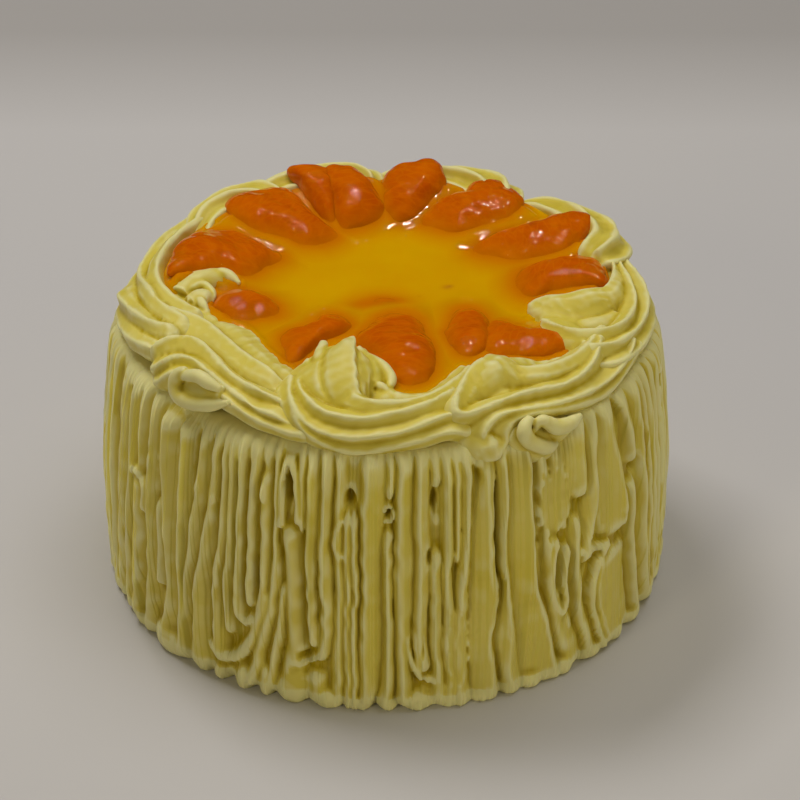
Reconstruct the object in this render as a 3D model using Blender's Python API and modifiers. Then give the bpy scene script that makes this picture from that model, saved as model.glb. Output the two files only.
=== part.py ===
"""Mango cake: a round cake whose side is a curtain of cream strands, with a border of piped cream
scrolls, a pool of mango glaze inside it and mandarin segments laid round the pool like petals.

Sizes are in millimetres, angles in degrees counter-clockwise from +X as seen from above, and the
origin is at the middle of the cake's underside.
"""
import math
import random
from collections import namedtuple

import bmesh
import bpy
import numpy as np
from mathutils import Matrix, Vector

MM = 0.001
GAP = 0.35
CUTTER_REACH = 250.0
WELD = 0.03
WELDS_AFTER_CUT = (0.1, 0.05, 0.02, 0.005)
SORT_LINE = Vector((1.0, 1.618, 2.414))

# The cake's body, with the mean radius of its side at a few heights
TOP_HEIGHT = 91.4
SIDE_PROFILE = ((0.0, 89.4), (4.0, 91.8), (13.0, 94.2), (27.0, 94.8), (44.0, 94.1),
                (68.0, 91.4), (86.0, 88.8), (TOP_HEIGHT, 84.5))
STRANDS = 90
STRAND_CREST = 1.4
STRAND_GROOVE = 1.7
TIP_GROOVE = 3.4
TIP_LEVEL = 1.0
STRAND_PULL = (0.55, 1.25)
STRAND_UNEVENNESS = 0.42
STRAND_SWAY = 0.55
SWAY_PITCH = 14.0
SIDE_SWELL = 0.4
TOP_FADE = 14.0
LEAST_FADE = 0.25

# The border: star-tip strokes laid counter-clockwise, each over the tail of the one before
STROKE_RADIUS = 10.7
STROKE_LOBES = 6
STROKE_FLUTE = 0.8
STROKE_HEIGHT = 97.5
STROKE_SHARES = (0.0, 0.18, 0.75, 1.0)
STROKE_SWELL = (0.62, 1.0, 0.95, 0.45)
LIFT_RUN = 0.4
TAIL_DIP = 1.0
ROUTE_STEPS = 3
CURL_SWELL = (0.45, 0.9, 1.0, 0.95, 0.5)
CURL_STEP = 55
CURL_TWIST = 10
CURL_OPENING = 0.12

# The glaze
GLAZE_LEVEL = 96.5
GLAZE_RADIUS = 66.0
GLAZE_SIDES = 64

# A mandarin segment
SEGMENT_SIDES = 12
SEGMENT_RINGS = 8
SEGMENT_CURVE = 0.16
SEGMENT_WEDGE = 0.30
SEGMENT_TAPER = 0.16

Stroke = namedtuple("Stroke", "name route lift thickness twist")
Curl = namedtuple("Curl", "name centre reach turn height thickness")
Segment = namedtuple("Segment", "name outer inner width thickness")
Finish = namedtuple("Finish", "name colour roughness")

CREAM = Finish("cream", (0.80, 0.73, 0.36, 1.0), 0.45)
GLAZE = Finish("glaze", (0.85, 0.38, 0.01, 1.0), 0.12)
FRUIT = Finish("mandarin", (0.72, 0.17, 0.01, 1.0), 0.20)

STROKES = (
    Stroke("border_scroll_01", ((200, 56), (204, 66.5), (211, 72.5), (221, 72.8), (233, 72.8),
                                (244, 75.5), (253, 76), (260, 71)), 2.5, 1.02, 95),
    Stroke("border_scroll_02", ((249, 46), (249.5, 58), (253.5, 70), (264, 78), (277, 77.5),
                                (289, 69), (298, 57)), 3.0, 1.05, 95),
    Stroke("border_scroll_03", ((301, 56), (296.7, 65), (297.2, 74), (303, 80.8), (311.5, 82),
                                (320, 80.5), (328.5, 76.5), (336, 70)), 3.0, 0.98, 95),
    Stroke("border_scroll_04", ((340.5, 48), (341.5, 60), (345, 71), (353, 77.5), (363, 78),
                                (374, 72)), 1.5, 1.05, 90),
    Stroke("border_scroll_05", ((8, 58), (12, 70), (20, 77), (32, 77.5), (44, 75), (54, 67)),
           0.5, 1.00, 80),
    Stroke("border_scroll_06", ((51, 58), (55, 70), (63, 77), (75, 77.5), (87, 74), (96, 67)),
           1.0, 1.00, 80),
    Stroke("border_scroll_07", ((92, 58), (96, 70), (104, 77), (114, 77), (123, 73), (131, 66)),
           1.5, 1.00, 80),
    Stroke("border_scroll_08", ((125, 58), (129, 70), (137, 77), (148, 77.5), (158, 74), (166, 67)),
           1.0, 1.00, 80),
    Stroke("border_scroll_09", ((158, 58), (162, 69), (169, 75.5), (181, 77.5), (194, 77.5),
                                (206, 72)), 1.0, 1.12, 90),
)
CURLS = (
    Curl("border_curl_1", (222, 80.5), 7.0, -20, 94.5, 4.6),
    Curl("border_curl_2", (301, 82.5), 8.5, 40, 94.0, 4.8),
)
SEGMENTS = (
    Segment("mandarin_01", (168, 72.0, 105.0), (151, 39.0, 99.2), 24, 15),
    Segment("mandarin_02", (139, 72.0, 107.5), (116, 40.0, 99.0), 25, 15),
    Segment("mandarin_03", (113, 74.0, 110.5), (116, 46.0, 99.0), 17, 14),
    Segment("mandarin_04", (100, 71.0, 111.0), (101, 42.0, 98.8), 17, 14),
    Segment("mandarin_05", (79, 74.0, 110.3), (84, 48.0, 98.9), 24, 14),
    Segment("mandarin_06", (50, 71.0, 107.0), (73, 43.0, 99.0), 23, 15),
    Segment("mandarin_07", (27, 75.0, 107.0), (42, 41.0, 99.0), 19, 14),
    Segment("mandarin_08", (3, 70.5, 103.6), (8, 40.0, 98.6), 23, 14),
    Segment("mandarin_09", (327, 65.0, 99.4), (321, 36.0, 101.0), 24, 14),
    Segment("mandarin_10", (301, 50.0, 99.0), (321, 24.0, 101.0), 15, 13),
    Segment("mandarin_11", (274, 65.0, 99.4), (277, 16.0, 102.0), 27, 14),
    Segment("mandarin_12", (240, 57.0, 99.6), (238, 20.0, 100.6), 20, 13),
    Segment("mandarin_13", (197, 60.0, 101.5), (198, 35.0, 99.4), 22, 13),
    Segment("mandarin_sliver", (215, 10.0, 95.6), (320, 6.0, 95.8), 9, 7),
)


def polar(angle, radius, height):
    """A point in metres from an angle in degrees and millimetres."""
    turn = math.radians(angle)
    return Vector((radius * math.cos(turn), radius * math.sin(turn), height)) * MM


def clear_scene():
    for obj in list(bpy.data.objects):
        bpy.data.objects.remove(obj, do_unlink=True)


def new_collection(name):
    collection = bpy.data.collections.new(name)
    bpy.context.scene.collection.children.link(collection)
    return collection


def material(finish):
    made = bpy.data.materials.get(finish.name)
    if made is None:
        made = bpy.data.materials.new(finish.name)
        made.use_nodes = True
        shader = made.node_tree.nodes["Principled BSDF"]
        shader.inputs["Base Color"].default_value = finish.colour
        shader.inputs["Roughness"].default_value = finish.roughness
    return made


def make_object(name, mesh, collection):
    obj = bpy.data.objects.new(name, mesh)
    collection.objects.link(obj)
    return obj


def mesh_from_bmesh(name, shape):
    mesh = bpy.data.meshes.new(name)
    shape.to_mesh(mesh)
    shape.free()
    return mesh


def evaluated_mesh(obj):
    """The mesh of an object with its modifiers or its curve's bevel worked in."""
    graph = bpy.context.evaluated_depsgraph_get()
    return bpy.data.meshes.new_from_object(obj.evaluated_get(graph), depsgraph=graph)


def is_closed(mesh):
    """Whether a mesh has faces and each of its edges joins two of them."""
    shape = bmesh.new()
    shape.from_mesh(mesh)
    closed = len(shape.faces) > 3 and all(edge.is_manifold for edge in shape.edges)
    shape.free()
    return closed


def bodies_of(shape):
    """The faces of each separate body in a bmesh, the smallest body first."""
    unseen = set(shape.faces)
    bodies = []
    while unseen:
        queue = [unseen.pop()]
        body = list(queue)
        while queue:
            for edge in queue.pop().edges:
                for face in edge.link_faces:
                    if face in unseen:
                        unseen.remove(face)
                        queue.append(face)
                        body.append(face)
        bodies.append(body)
    return sorted(bodies, key=lambda faces: sum(face.calc_area() for face in faces))


def sort_by_place(shape):
    """Order a bmesh's points, edges and faces by where they are, so that each run gives the same mesh."""
    shape.verts.sort(key=lambda vert: vert.co.dot(SORT_LINE))
    shape.edges.sort(key=lambda edge: (edge.verts[0].co + edge.verts[1].co).dot(SORT_LINE))
    shape.faces.sort(key=lambda face: face.calc_center_median().dot(SORT_LINE))


def keep_largest_body(mesh, weld=WELD):
    """Weld and triangulate a mesh, and drop every loose scrap but its largest body."""
    shape = bmesh.new()
    shape.from_mesh(mesh)
    sort_by_place(shape)
    bmesh.ops.remove_doubles(shape, verts=shape.verts, dist=weld * MM)
    bmesh.ops.dissolve_degenerate(shape, edges=shape.edges, dist=weld * MM)
    scraps = [face for body in bodies_of(shape)[:-1] for face in body]
    bmesh.ops.delete(shape, geom=scraps, context="FACES")
    bmesh.ops.triangulate(shape, faces=shape.faces)
    sort_by_place(shape)
    shape.to_mesh(mesh)
    shape.free()


def grown_copy(obj, collection):
    """A copy of an object swollen by the gap, used to cut clearance into its neighbours."""
    shape = bmesh.new()
    shape.from_mesh(obj.data)
    shape.normal_update()
    moves = [vert.normal * vert.calc_shell_factor() * GAP * MM for vert in shape.verts]
    for vert, move in zip(shape.verts, moves):
        vert.co += move
    cutter = make_object("grown_" + obj.name, mesh_from_bmesh(obj.name, shape), collection)
    cutter.hide_render = True
    cutter.display_type = "WIRE"
    return cutter


def cut(obj, cutters):
    """Take the cutters away from an object, one after the other, and keep each result closed."""
    for cutter in cutters:
        for solver in ("EXACT", "MANIFOLD"):
            difference = obj.modifiers.new("cut", "BOOLEAN")
            difference.operation = "DIFFERENCE"
            difference.solver = solver
            difference.object = cutter
            carved = evaluated_mesh(obj)
            obj.modifiers.remove(difference)
            if is_closed(carved):
                break
        obj.data = carved
    for weld in WELDS_AFTER_CUT:
        cleaned = obj.data.copy()
        keep_largest_body(cleaned, weld)
        if is_closed(cleaned):
            break
    obj.data = cleaned


def make_body(collection):
    """The cake's body: a turned profile whose side is drawn out into uneven strands of cream."""
    profile = bpy.data.meshes.new("side_profile")
    points = [Vector((0.0, 0.0, TOP_HEIGHT)) * MM]
    points += [Vector((radius, 0.0, height)) * MM for height, radius in reversed(SIDE_PROFILE)]
    points.append(Vector((0.0, 0.0, 0.0)))
    profile.from_pydata(points, [(i, i + 1) for i in range(len(points) - 1)], [])
    obj = make_object("cake_body", profile, collection)
    screw = obj.modifiers.new("turn", "SCREW")
    screw.steps = 2 * STRANDS
    screw.render_steps = 2 * STRANDS
    screw.use_merge_vertices = True
    screw.merge_threshold = 0.05 * MM
    obj.data = evaluated_mesh(obj)
    obj.modifiers.clear()
    pull_strands(obj.data)
    keep_largest_body(obj.data)
    return obj


def pull_strands(mesh):
    """Push the side's columns out and in by turns, and let them sway as they run down."""
    draw = random.Random(7)
    columns = 2 * STRANDS
    nudges = [draw.uniform(-STRAND_UNEVENNESS, STRAND_UNEVENNESS) for _ in range(columns)]
    pulls = [draw.uniform(*STRAND_PULL) for _ in range(columns)]
    phases = [draw.uniform(0.0, 2 * math.pi) for _ in range(3)]
    axis_radius = 1.0 * MM
    heights = [height for height, _ in SIDE_PROFILE]
    radii = [radius for _, radius in SIDE_PROFILE]
    for vert in mesh.vertices:
        if math.hypot(vert.co.x, vert.co.y) < axis_radius:
            continue
        height = vert.co.z / MM
        angle = math.atan2(vert.co.y, vert.co.x)
        column = round(angle / (2 * math.pi) * columns) % columns
        groove = TIP_GROOVE if height < TIP_LEVEL else STRAND_GROOVE
        relief = STRAND_CREST if column % 2 else -groove
        sway = STRAND_SWAY * (math.sin(height / SWAY_PITCH + 5 * angle + phases[0])
                              + 0.6 * math.sin(2 * height / SWAY_PITCH + 11 * angle + phases[1]))
        turn = angle + (nudges[column] + sway) * math.pi / columns
        swell = SIDE_SWELL * math.sin(3 * angle + phases[2])
        fade = min(1.0, LEAST_FADE + (TOP_HEIGHT - height) / TOP_FADE)
        radius = float(np.interp(height, heights, radii)) + relief * pulls[column] * fade + swell
        vert.co.x = radius * MM * math.cos(turn)
        vert.co.y = radius * MM * math.sin(turn)


def make_floor_cutter(collection):
    """A deep block under the level that everything on top of the body rests on."""
    shape = bmesh.new()
    bmesh.ops.create_cube(shape, size=CUTTER_REACH * MM)
    lift = (TOP_HEIGHT + GAP - CUTTER_REACH / 2) * MM
    bmesh.ops.translate(shape, verts=shape.verts, vec=(0, 0, lift))
    cutter = make_object("under_border", mesh_from_bmesh("under_border", shape), collection)
    cutter.hide_render = True
    cutter.display_type = "WIRE"
    return cutter


def make_star(collection):
    """The open star tip's outline, a closed curve of unit radius."""
    curve = bpy.data.curves.new("star_tip", "CURVE")
    curve.dimensions = "2D"
    points = 2 * STROKE_LOBES
    spline = curve.splines.new("POLY")
    spline.points.add(points - 1)
    spline.use_cyclic_u = True
    for index, point in enumerate(spline.points):
        turn = 2 * math.pi * index / points
        radius = STROKE_FLUTE if index % 2 else 1.0
        point.co = (radius * math.cos(turn), radius * math.sin(turn), 0.0, 1.0)
    star = make_object("star_tip", curve, collection)
    star.hide_render = True
    return star


def piped(name, route, widths, tilts, star, collection):
    """Cream piped through the star tip along a smooth route."""
    curve = bpy.data.curves.new(name, "CURVE")
    curve.dimensions = "3D"
    curve.twist_mode = "Z_UP"
    curve.resolution_u = ROUTE_STEPS
    curve.bevel_mode = "OBJECT"
    curve.bevel_object = star
    curve.use_fill_caps = True
    spline = curve.splines.new("BEZIER")
    spline.bezier_points.add(len(route) - 1)
    for point, place, width, tilt in zip(spline.bezier_points, route, widths, tilts):
        point.co = place
        point.radius = width * MM
        point.tilt = math.radians(tilt)
        point.handle_left_type = "AUTO"
        point.handle_right_type = "AUTO"
    source = make_object(name + "_route", curve, collection)
    shape = bmesh.new()
    shape.from_mesh(evaluated_mesh(source))
    bpy.data.objects.remove(source, do_unlink=True)
    bmesh.ops.remove_doubles(shape, verts=shape.verts, dist=0.01 * MM)
    bmesh.ops.recalc_face_normals(shape, faces=shape.faces)
    obj = make_object(name, mesh_from_bmesh(name, shape), collection)
    keep_largest_body(obj.data)
    return obj


def stroke_route(stroke):
    """The places, half widths and turns of a scroll: out from the pool to the rim, along it, and in."""
    last = len(stroke.route) - 1
    route = []
    widths = []
    tilts = []
    for index, (angle, radius) in enumerate(stroke.route):
        share = index / last
        rise = stroke.lift * max(0.0, 1.0 - share / LIFT_RUN)
        route.append(polar(angle, radius, STROKE_HEIGHT + rise - TAIL_DIP * share ** 3))
        swell = float(np.interp(share, STROKE_SHARES, STROKE_SWELL))
        widths.append(STROKE_RADIUS * stroke.thickness * swell)
        tilts.append(stroke.twist * share)
    return route, widths, tilts


def make_stroke(stroke, star, collection):
    route, widths, tilts = stroke_route(stroke)
    return piped(stroke.name, route, widths, tilts, star, collection)


def make_curl(curl, star, collection):
    """A small hook of cream that hangs over the side's top edge under a scroll."""
    angle, radius = curl.centre
    centre = polar(angle, radius, curl.height)
    outward = polar(angle, 1.0, 0.0).normalized()
    along = Vector((-outward.y, outward.x, 0.0))
    route = []
    widths = []
    tilts = []
    for step, width in enumerate(CURL_SWELL):
        turn = math.radians(curl.turn + CURL_STEP * (step - len(CURL_SWELL) // 2))
        reach = curl.reach * (1.0 + CURL_OPENING * step) * MM
        route.append(centre + (outward * math.cos(turn) + along * math.sin(turn)) * reach)
        widths.append(curl.thickness * width)
        tilts.append(CURL_TWIST * step)
    return piped(curl.name, route, widths, tilts, star, collection)


def make_segment(segment, collection):
    """A mandarin segment lying on its flat side, from its outer end to its inner end."""
    outer = polar(*segment.outer)
    inner = polar(*segment.inner)
    length = (outer - inner).length
    shape = bmesh.new()
    bmesh.ops.create_uvsphere(shape, u_segments=SEGMENT_SIDES, v_segments=SEGMENT_RINGS, radius=0.5)
    bmesh.ops.rotate(shape, verts=shape.verts, matrix=Matrix.Rotation(math.pi / 2, 3, "Y"))
    for vert in shape.verts:
        along, across, up = vert.co * 2
        taper = 1.0 + SEGMENT_TAPER * along
        edge = 1.0 - SEGMENT_WEDGE * (0.5 + 0.5 * across)
        vert.co.x = along * length / 2
        vert.co.y = (across * taper + SEGMENT_CURVE * (0.5 - along * along)) * segment.width * MM / 2
        vert.co.z = up * taper * edge * segment.thickness * MM / 2
    ahead = (outer - inner).normalized()
    side = Vector((0, 0, 1)).cross(ahead).normalized()
    up = ahead.cross(side)
    turn = Matrix((ahead, side, up)).transposed().to_4x4()
    middle = Matrix.Translation((outer + inner) / 2)
    bmesh.ops.transform(shape, verts=shape.verts, matrix=middle @ turn)
    bmesh.ops.recalc_face_normals(shape, faces=shape.faces)
    obj = make_object(segment.name, mesh_from_bmesh(segment.name, shape), collection)
    keep_largest_body(obj.data)
    return obj


def make_glaze(collection):
    """The pool of glaze inside the border, level on top."""
    bottom = TOP_HEIGHT + GAP
    shape = bmesh.new()
    bmesh.ops.create_cone(shape, cap_ends=True, segments=GLAZE_SIDES, radius1=GLAZE_RADIUS * MM,
                          radius2=GLAZE_RADIUS * MM, depth=(GLAZE_LEVEL - bottom) * MM)
    middle = (GLAZE_LEVEL + bottom) / 2 * MM
    bmesh.ops.translate(shape, verts=shape.verts, vec=(0, 0, middle))
    return make_object("mango_glaze", mesh_from_bmesh("mango_glaze", shape), collection)


def dress(obj, finish):
    obj.data.materials.clear()
    obj.data.materials.append(material(finish))
    obj.data.shade_flat()


def near(first, second):
    """Whether the boxes of two objects meet."""
    corners = [[vert.co for vert in obj.data.vertices] for obj in (first, second)]
    lows = [[min(co[axis] for co in side) for axis in range(3)] for side in corners]
    highs = [[max(co[axis] for co in side) for axis in range(3)] for side in corners]
    return all(lows[0][axis] <= highs[1][axis] and lows[1][axis] <= highs[0][axis] for axis in range(3))


def main():
    clear_scene()
    parts = new_collection("mango_cake")
    cutters = new_collection("cutters")
    floor_cutter = make_floor_cutter(cutters)
    star = make_star(cutters)
    body = make_body(parts)
    strokes = [make_stroke(stroke, star, parts) for stroke in STROKES]
    curls = [make_curl(curl, star, parts) for curl in CURLS]
    segments = [make_segment(segment, parts) for segment in SEGMENTS]
    glaze = make_glaze(parts)
    grown = {obj.name: grown_copy(obj, cutters) for obj in strokes + curls + segments}

    for index, obj in enumerate(segments):
        over = [grown[other.name] for other in segments[index + 1:]]
        cut(obj, [cutter for cutter in over if near(obj, cutter)] + [floor_cutter])
    fruit_cutters = [grown[obj.name] for obj in segments]
    for index, obj in enumerate(strokes):
        after = grown[strokes[(index + 1) % len(strokes)].name]
        fruit = [cutter for cutter in fruit_cutters if near(obj, cutter)]
        cut(obj, [after] + fruit + [floor_cutter])
    stroke_cutters = [grown[obj.name] for obj in strokes]
    for obj in curls:
        cut(obj, [cutter for cutter in stroke_cutters if near(obj, cutter)] + [floor_cutter])
    cut(glaze, stroke_cutters + fruit_cutters)

    for obj in [body] + strokes + curls:
        dress(obj, CREAM)
    for obj in segments:
        dress(obj, FRUIT)
    dress(glaze, GLAZE)
    for obj in list(cutters.objects):
        bpy.data.objects.remove(obj, do_unlink=True)


main()
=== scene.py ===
"""Dresses the mango cake: folds of cream, piped scrolls, a mango pool and glazed mandarin segments.

Sizes are in millimetres and angles in degrees counter-clockwise from +X as seen from above, unless a
name says otherwise. The origin is the middle of the cake's underside.
"""

import logging
import math
from collections.abc import Callable, Iterator, Sequence
from contextlib import contextmanager
from dataclasses import dataclass, field
from enum import Enum

import bpy
import numpy as np
from mathutils import Euler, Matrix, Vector
from mathutils.bvhtree import BVHTree
from mathutils.kdtree import KDTree


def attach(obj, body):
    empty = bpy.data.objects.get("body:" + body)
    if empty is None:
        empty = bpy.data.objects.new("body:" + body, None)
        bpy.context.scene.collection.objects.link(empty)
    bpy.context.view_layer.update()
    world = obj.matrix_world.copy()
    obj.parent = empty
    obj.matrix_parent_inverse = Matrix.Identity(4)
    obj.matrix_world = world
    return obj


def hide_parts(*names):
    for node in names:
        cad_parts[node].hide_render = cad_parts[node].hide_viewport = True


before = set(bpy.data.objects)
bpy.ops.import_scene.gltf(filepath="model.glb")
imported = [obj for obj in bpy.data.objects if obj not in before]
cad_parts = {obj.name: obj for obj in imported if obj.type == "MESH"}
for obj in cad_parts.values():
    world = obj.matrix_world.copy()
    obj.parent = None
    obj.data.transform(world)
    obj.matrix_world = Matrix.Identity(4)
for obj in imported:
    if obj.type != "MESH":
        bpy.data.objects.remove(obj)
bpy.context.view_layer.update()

MM = 0.001
LOG = logging.getLogger("mango_cake")
Spot = tuple[float, float]
Spot3 = tuple[float, float, float]
Row = tuple[float, float, float, float]
Colour = tuple[float, float, float, float]
Array = np.ndarray
Piece = bpy.types.Object
Mesh = bpy.types.Mesh
Material = bpy.types.Material
Socket = bpy.types.NodeSocket
Feed = Socket | float | Sequence[float]


# Bench work: small steps that every piece goes through

def make_active(piece: Piece) -> None:
    """Select one object alone and make it the active one.

    Args:
        piece: The object.
    """
    bpy.ops.object.select_all(action="DESELECT")
    piece.select_set(True)
    bpy.context.view_layer.objects.active = piece


def fresh(operator: Callable[..., set[str]], name: str, **sizes: object) -> Piece:
    """Add a primitive, selected alone.

    Args:
        operator: The operator that adds it.
        name: Its name.
        sizes: What the operator is told.

    Returns:
        The new object.
    """
    bpy.ops.object.select_all(action="DESELECT")
    operator(**sizes)
    piece = bpy.context.object
    piece.name = name
    return piece


@contextmanager
def editing(piece: Piece) -> Iterator[None]:
    """Hold an object in edit mode while the block runs.

    Args:
        piece: The object.

    Returns:
        The context.
    """
    make_active(piece)
    bpy.ops.object.mode_set(mode="EDIT")
    try:
        yield
    finally:
        bpy.ops.object.mode_set(mode="OBJECT")


def face_outward(piece: Piece) -> None:
    """Turn every face of a closed piece outward.

    Args:
        piece: The piece.
    """
    with editing(piece):
        bpy.ops.mesh.select_all(action="SELECT")
        bpy.ops.mesh.normals_make_consistent(inside=False)


def settle(piece: Piece) -> None:
    """Move an object's place, turn and size into its mesh."""
    make_active(piece)
    bpy.ops.object.transform_apply(location=True, rotation=True, scale=True)


def read_points(mesh: Mesh) -> Array:
    """The mesh's points in millimetres.

    Args:
        mesh: The mesh.

    Returns:
        The points, one row each.
    """
    flat = np.empty(3 * len(mesh.vertices))
    mesh.vertices.foreach_get("co", flat)
    return flat.reshape(-1, 3) / MM


def write_points(mesh: Mesh, points: Array) -> None:
    """Put points given in millimetres into the mesh."""
    mesh.vertices.foreach_set("co", (points * MM).ravel())
    mesh.update()


def read_normals(mesh: Mesh) -> Array:
    """The mesh's point normals.

    Args:
        mesh: The mesh.

    Returns:
        The normals, one row each.
    """
    flat = np.empty(3 * len(mesh.vertices))
    mesh.vertex_normals.foreach_get("vector", flat)
    return flat.reshape(-1, 3)


def write_share(mesh: Mesh, name: str, values: Array) -> None:
    """Store one number for each point of the mesh, for its material to read."""
    layer = mesh.attributes.new(name, "FLOAT", "POINT")
    layer.data.foreach_set("value", np.ascontiguousarray(values, dtype=np.float32))


def relaxed(mesh: Mesh, points: Array, rounds: int) -> Array:
    """Points drawn towards the mean of their neighbours.

    Args:
        mesh: The mesh whose edges say which points are neighbours.
        points: One row for each point.
        rounds: How many times they are drawn.

    Returns:
        The moved points, one row each.
    """
    ends = np.empty(2 * len(mesh.edges), dtype=np.int64)
    mesh.edges.foreach_get("vertices", ends)
    first, second = ends.reshape(-1, 2).T
    here, there = np.concatenate((first, second)), np.concatenate((second, first))
    count = np.maximum(np.bincount(here, minlength=len(points)), 1)[:, None]
    for _ in range(rounds):
        total = [np.bincount(here, weights=points[there, axis], minlength=len(points)) for axis in range(3)]
        points = 0.5 * points + 0.5 * np.stack(total, axis=1) / count
    return points


def mark_hollows(piece: Piece, rounds: int, full_depth: float) -> None:
    """Store how deep each point lies in a crease, from 0 on crests to 1 in a deep one; the cream finish
    paints shade into creases and a highlight onto crests from these values.

    Args:
        piece: The piece to mark.
        rounds: How widely the surface is evened out to find its creases.
        full_depth: The depth below the evened surface that counts as 1.
    """
    points = read_points(piece.data)
    depth = ((relaxed(piece.data, points, rounds) - points) * read_normals(piece.data)).sum(axis=1)
    write_share(piece.data, "hollow", np.clip(depth / full_depth, -1.0, 1.0) * 0.5 + 0.5)


def polar(angle: float, radius: float, height: float) -> Array:
    """A place in millimetres from its angle, its distance from the axis and its height."""
    turn = math.radians(angle)
    return np.array((radius * math.cos(turn), radius * math.sin(turn), height))


CORE = (75.0, 92.5)
REACH = (12.8, 12.0)
CROWN_END = 71.0
CROWN_SLOPE = 0.20
BRIM = CORE[0] + REACH[0] - 0.2
OUTER_FALL = 14.0
CROWN_SEARCH = np.linspace(113.0, 80.0, 4000)


def crown_height(radius: Array) -> Array:
    """The height of the scrolls' plump outline.

    Args:
        radius: Distances from the axis.

    Returns:
        The height at each.
    """
    bulge = np.sqrt(np.clip(1.0 - ((radius - CORE[0]) / REACH[0]) ** 2, 0.0, 1.0))
    inner = CORE[1] + REACH[1] - CROWN_SLOPE * np.clip(CROWN_END - radius, 0.0, None)
    height = np.where(radius < CORE[0], inner, CORE[1] + REACH[1] * bulge)
    return np.where(radius > BRIM, CORE[1] - (radius - BRIM) * OUTER_FALL, height)


@dataclass(frozen=True)
class View:
    """The photograph's viewpoint, which tells what place a pixel, given by column and row, shows.

    Attributes:
        stand: Where the camera stands.
        turn: How it is turned about X, Y and Z, in degrees.
        lens: Its focal length.
        sensor: The width of its sensor.
        side: The photograph's side in pixels.
    """

    stand: Spot3 = (0.0, -669.1, 461.4)
    turn: Spot3 = (58.865, -0.176, -0.291)
    lens: float = 105.525
    sensor: float = 36.0
    side: float = 800.0

    def line(self, pixel: Spot) -> Array:
        """The direction in which a pixel looks.

        Args:
            pixel: Its column and row.

        Returns:
            The direction.
        """
        focus = self.lens / self.sensor * self.side
        way = Vector(((pixel[0] - self.side / 2) / focus, (self.side / 2 - pixel[1]) / focus, -1.0))
        way.rotate(Euler([math.radians(angle) for angle in self.turn]))
        return np.array(way)

    def at_heights(self, pixel: Spot, heights: Array) -> Array:
        """The places along a pixel's line of sight at some heights."""
        way = self.line(pixel)
        return self.stand + way * ((heights - self.stand[2]) / way[2])[:, None]


VIEW = View()


def seen(column: float, row: float, height: float, dip: float = 0.0) -> Array:
    """The place that a pixel shows at a known height, or a little below it."""
    return VIEW.at_heights((column, row), np.array([height]))[0] - (0.0, 0.0, dip)


def crown(column: float, row: float, dip: float = 0.0) -> Array:
    """The place that a pixel shows on the scrolls' plump outline.

    Args:
        column: The pixel's column.
        row: Its row.
        dip: How far below the outline the place is.

    Returns:
        The place.
    """
    places = VIEW.at_heights((column, row), CROWN_SEARCH)
    below = CROWN_SEARCH < crown_height(np.hypot(places[:, 0], places[:, 1]))
    return places[np.argmax(below)] - (0.0, 0.0, dip)


def outer(column: float, row: float, radius: float) -> Array:
    """The place that a pixel shows at a known distance from the axis.

    Args:
        column: The pixel's column.
        row: Its row.
        radius: The distance.

    Returns:
        The place.
    """
    way, stand = VIEW.line((column, row)), np.array(VIEW.stand)
    square, cross = way[:2] @ way[:2], way[:2] @ stand[:2]
    rest = stand[:2] @ stand[:2] - radius ** 2
    return stand + way * (-cross - math.sqrt(cross ** 2 - square * rest)) / square


def on_plane(pixel: Spot, spot: Array, normal: Array) -> Array:
    """The place that a pixel shows on a plane through a spot."""
    way = VIEW.line(pixel)
    return VIEW.stand + way * (((spot - VIEW.stand) @ normal) / (way @ normal))


def smooth_run(points: Sequence[Sequence[float]], steps: int) -> Array:
    """A smooth line through a few points.

    Args:
        points: The points that the line passes, one row each.
        steps: How many pieces each stretch between two points is cut into.

    Returns:
        The line's points, one row each, the first and last as given.
    """
    knots = np.array(points, dtype=float)
    padded = np.vstack((2 * knots[0] - knots[1], knots, 2 * knots[-1] - knots[-2]))
    rows = []
    for start in range(len(knots) - 1):
        a, b, c, d = padded[start:start + 4]
        for step in range(steps):
            t = step / steps
            rows.append(0.5 * (2 * b + (c - a) * t + (2 * a - 5 * b + 4 * c - d) * t ** 2
                               + (3 * b - a - 3 * c + d) * t ** 3))
    return np.array(rows + [knots[-1]])


def hand_over(piece: Piece, look: Material, node: str) -> None:
    """Dress a finished piece, hang it on the root body and hide the solid that it stands for.

    Args:
        piece: The finished piece, at the origin.
        look: Its material.
        node: The solid that it stands for.
    """
    piece.data.materials.clear()
    piece.data.materials.append(look)
    piece.data.shade_smooth()
    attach(piece, "root")
    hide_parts(node)
    LOG.info("%s: %d faces, for %s", piece.name, len(piece.data.polygons), node)


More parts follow.
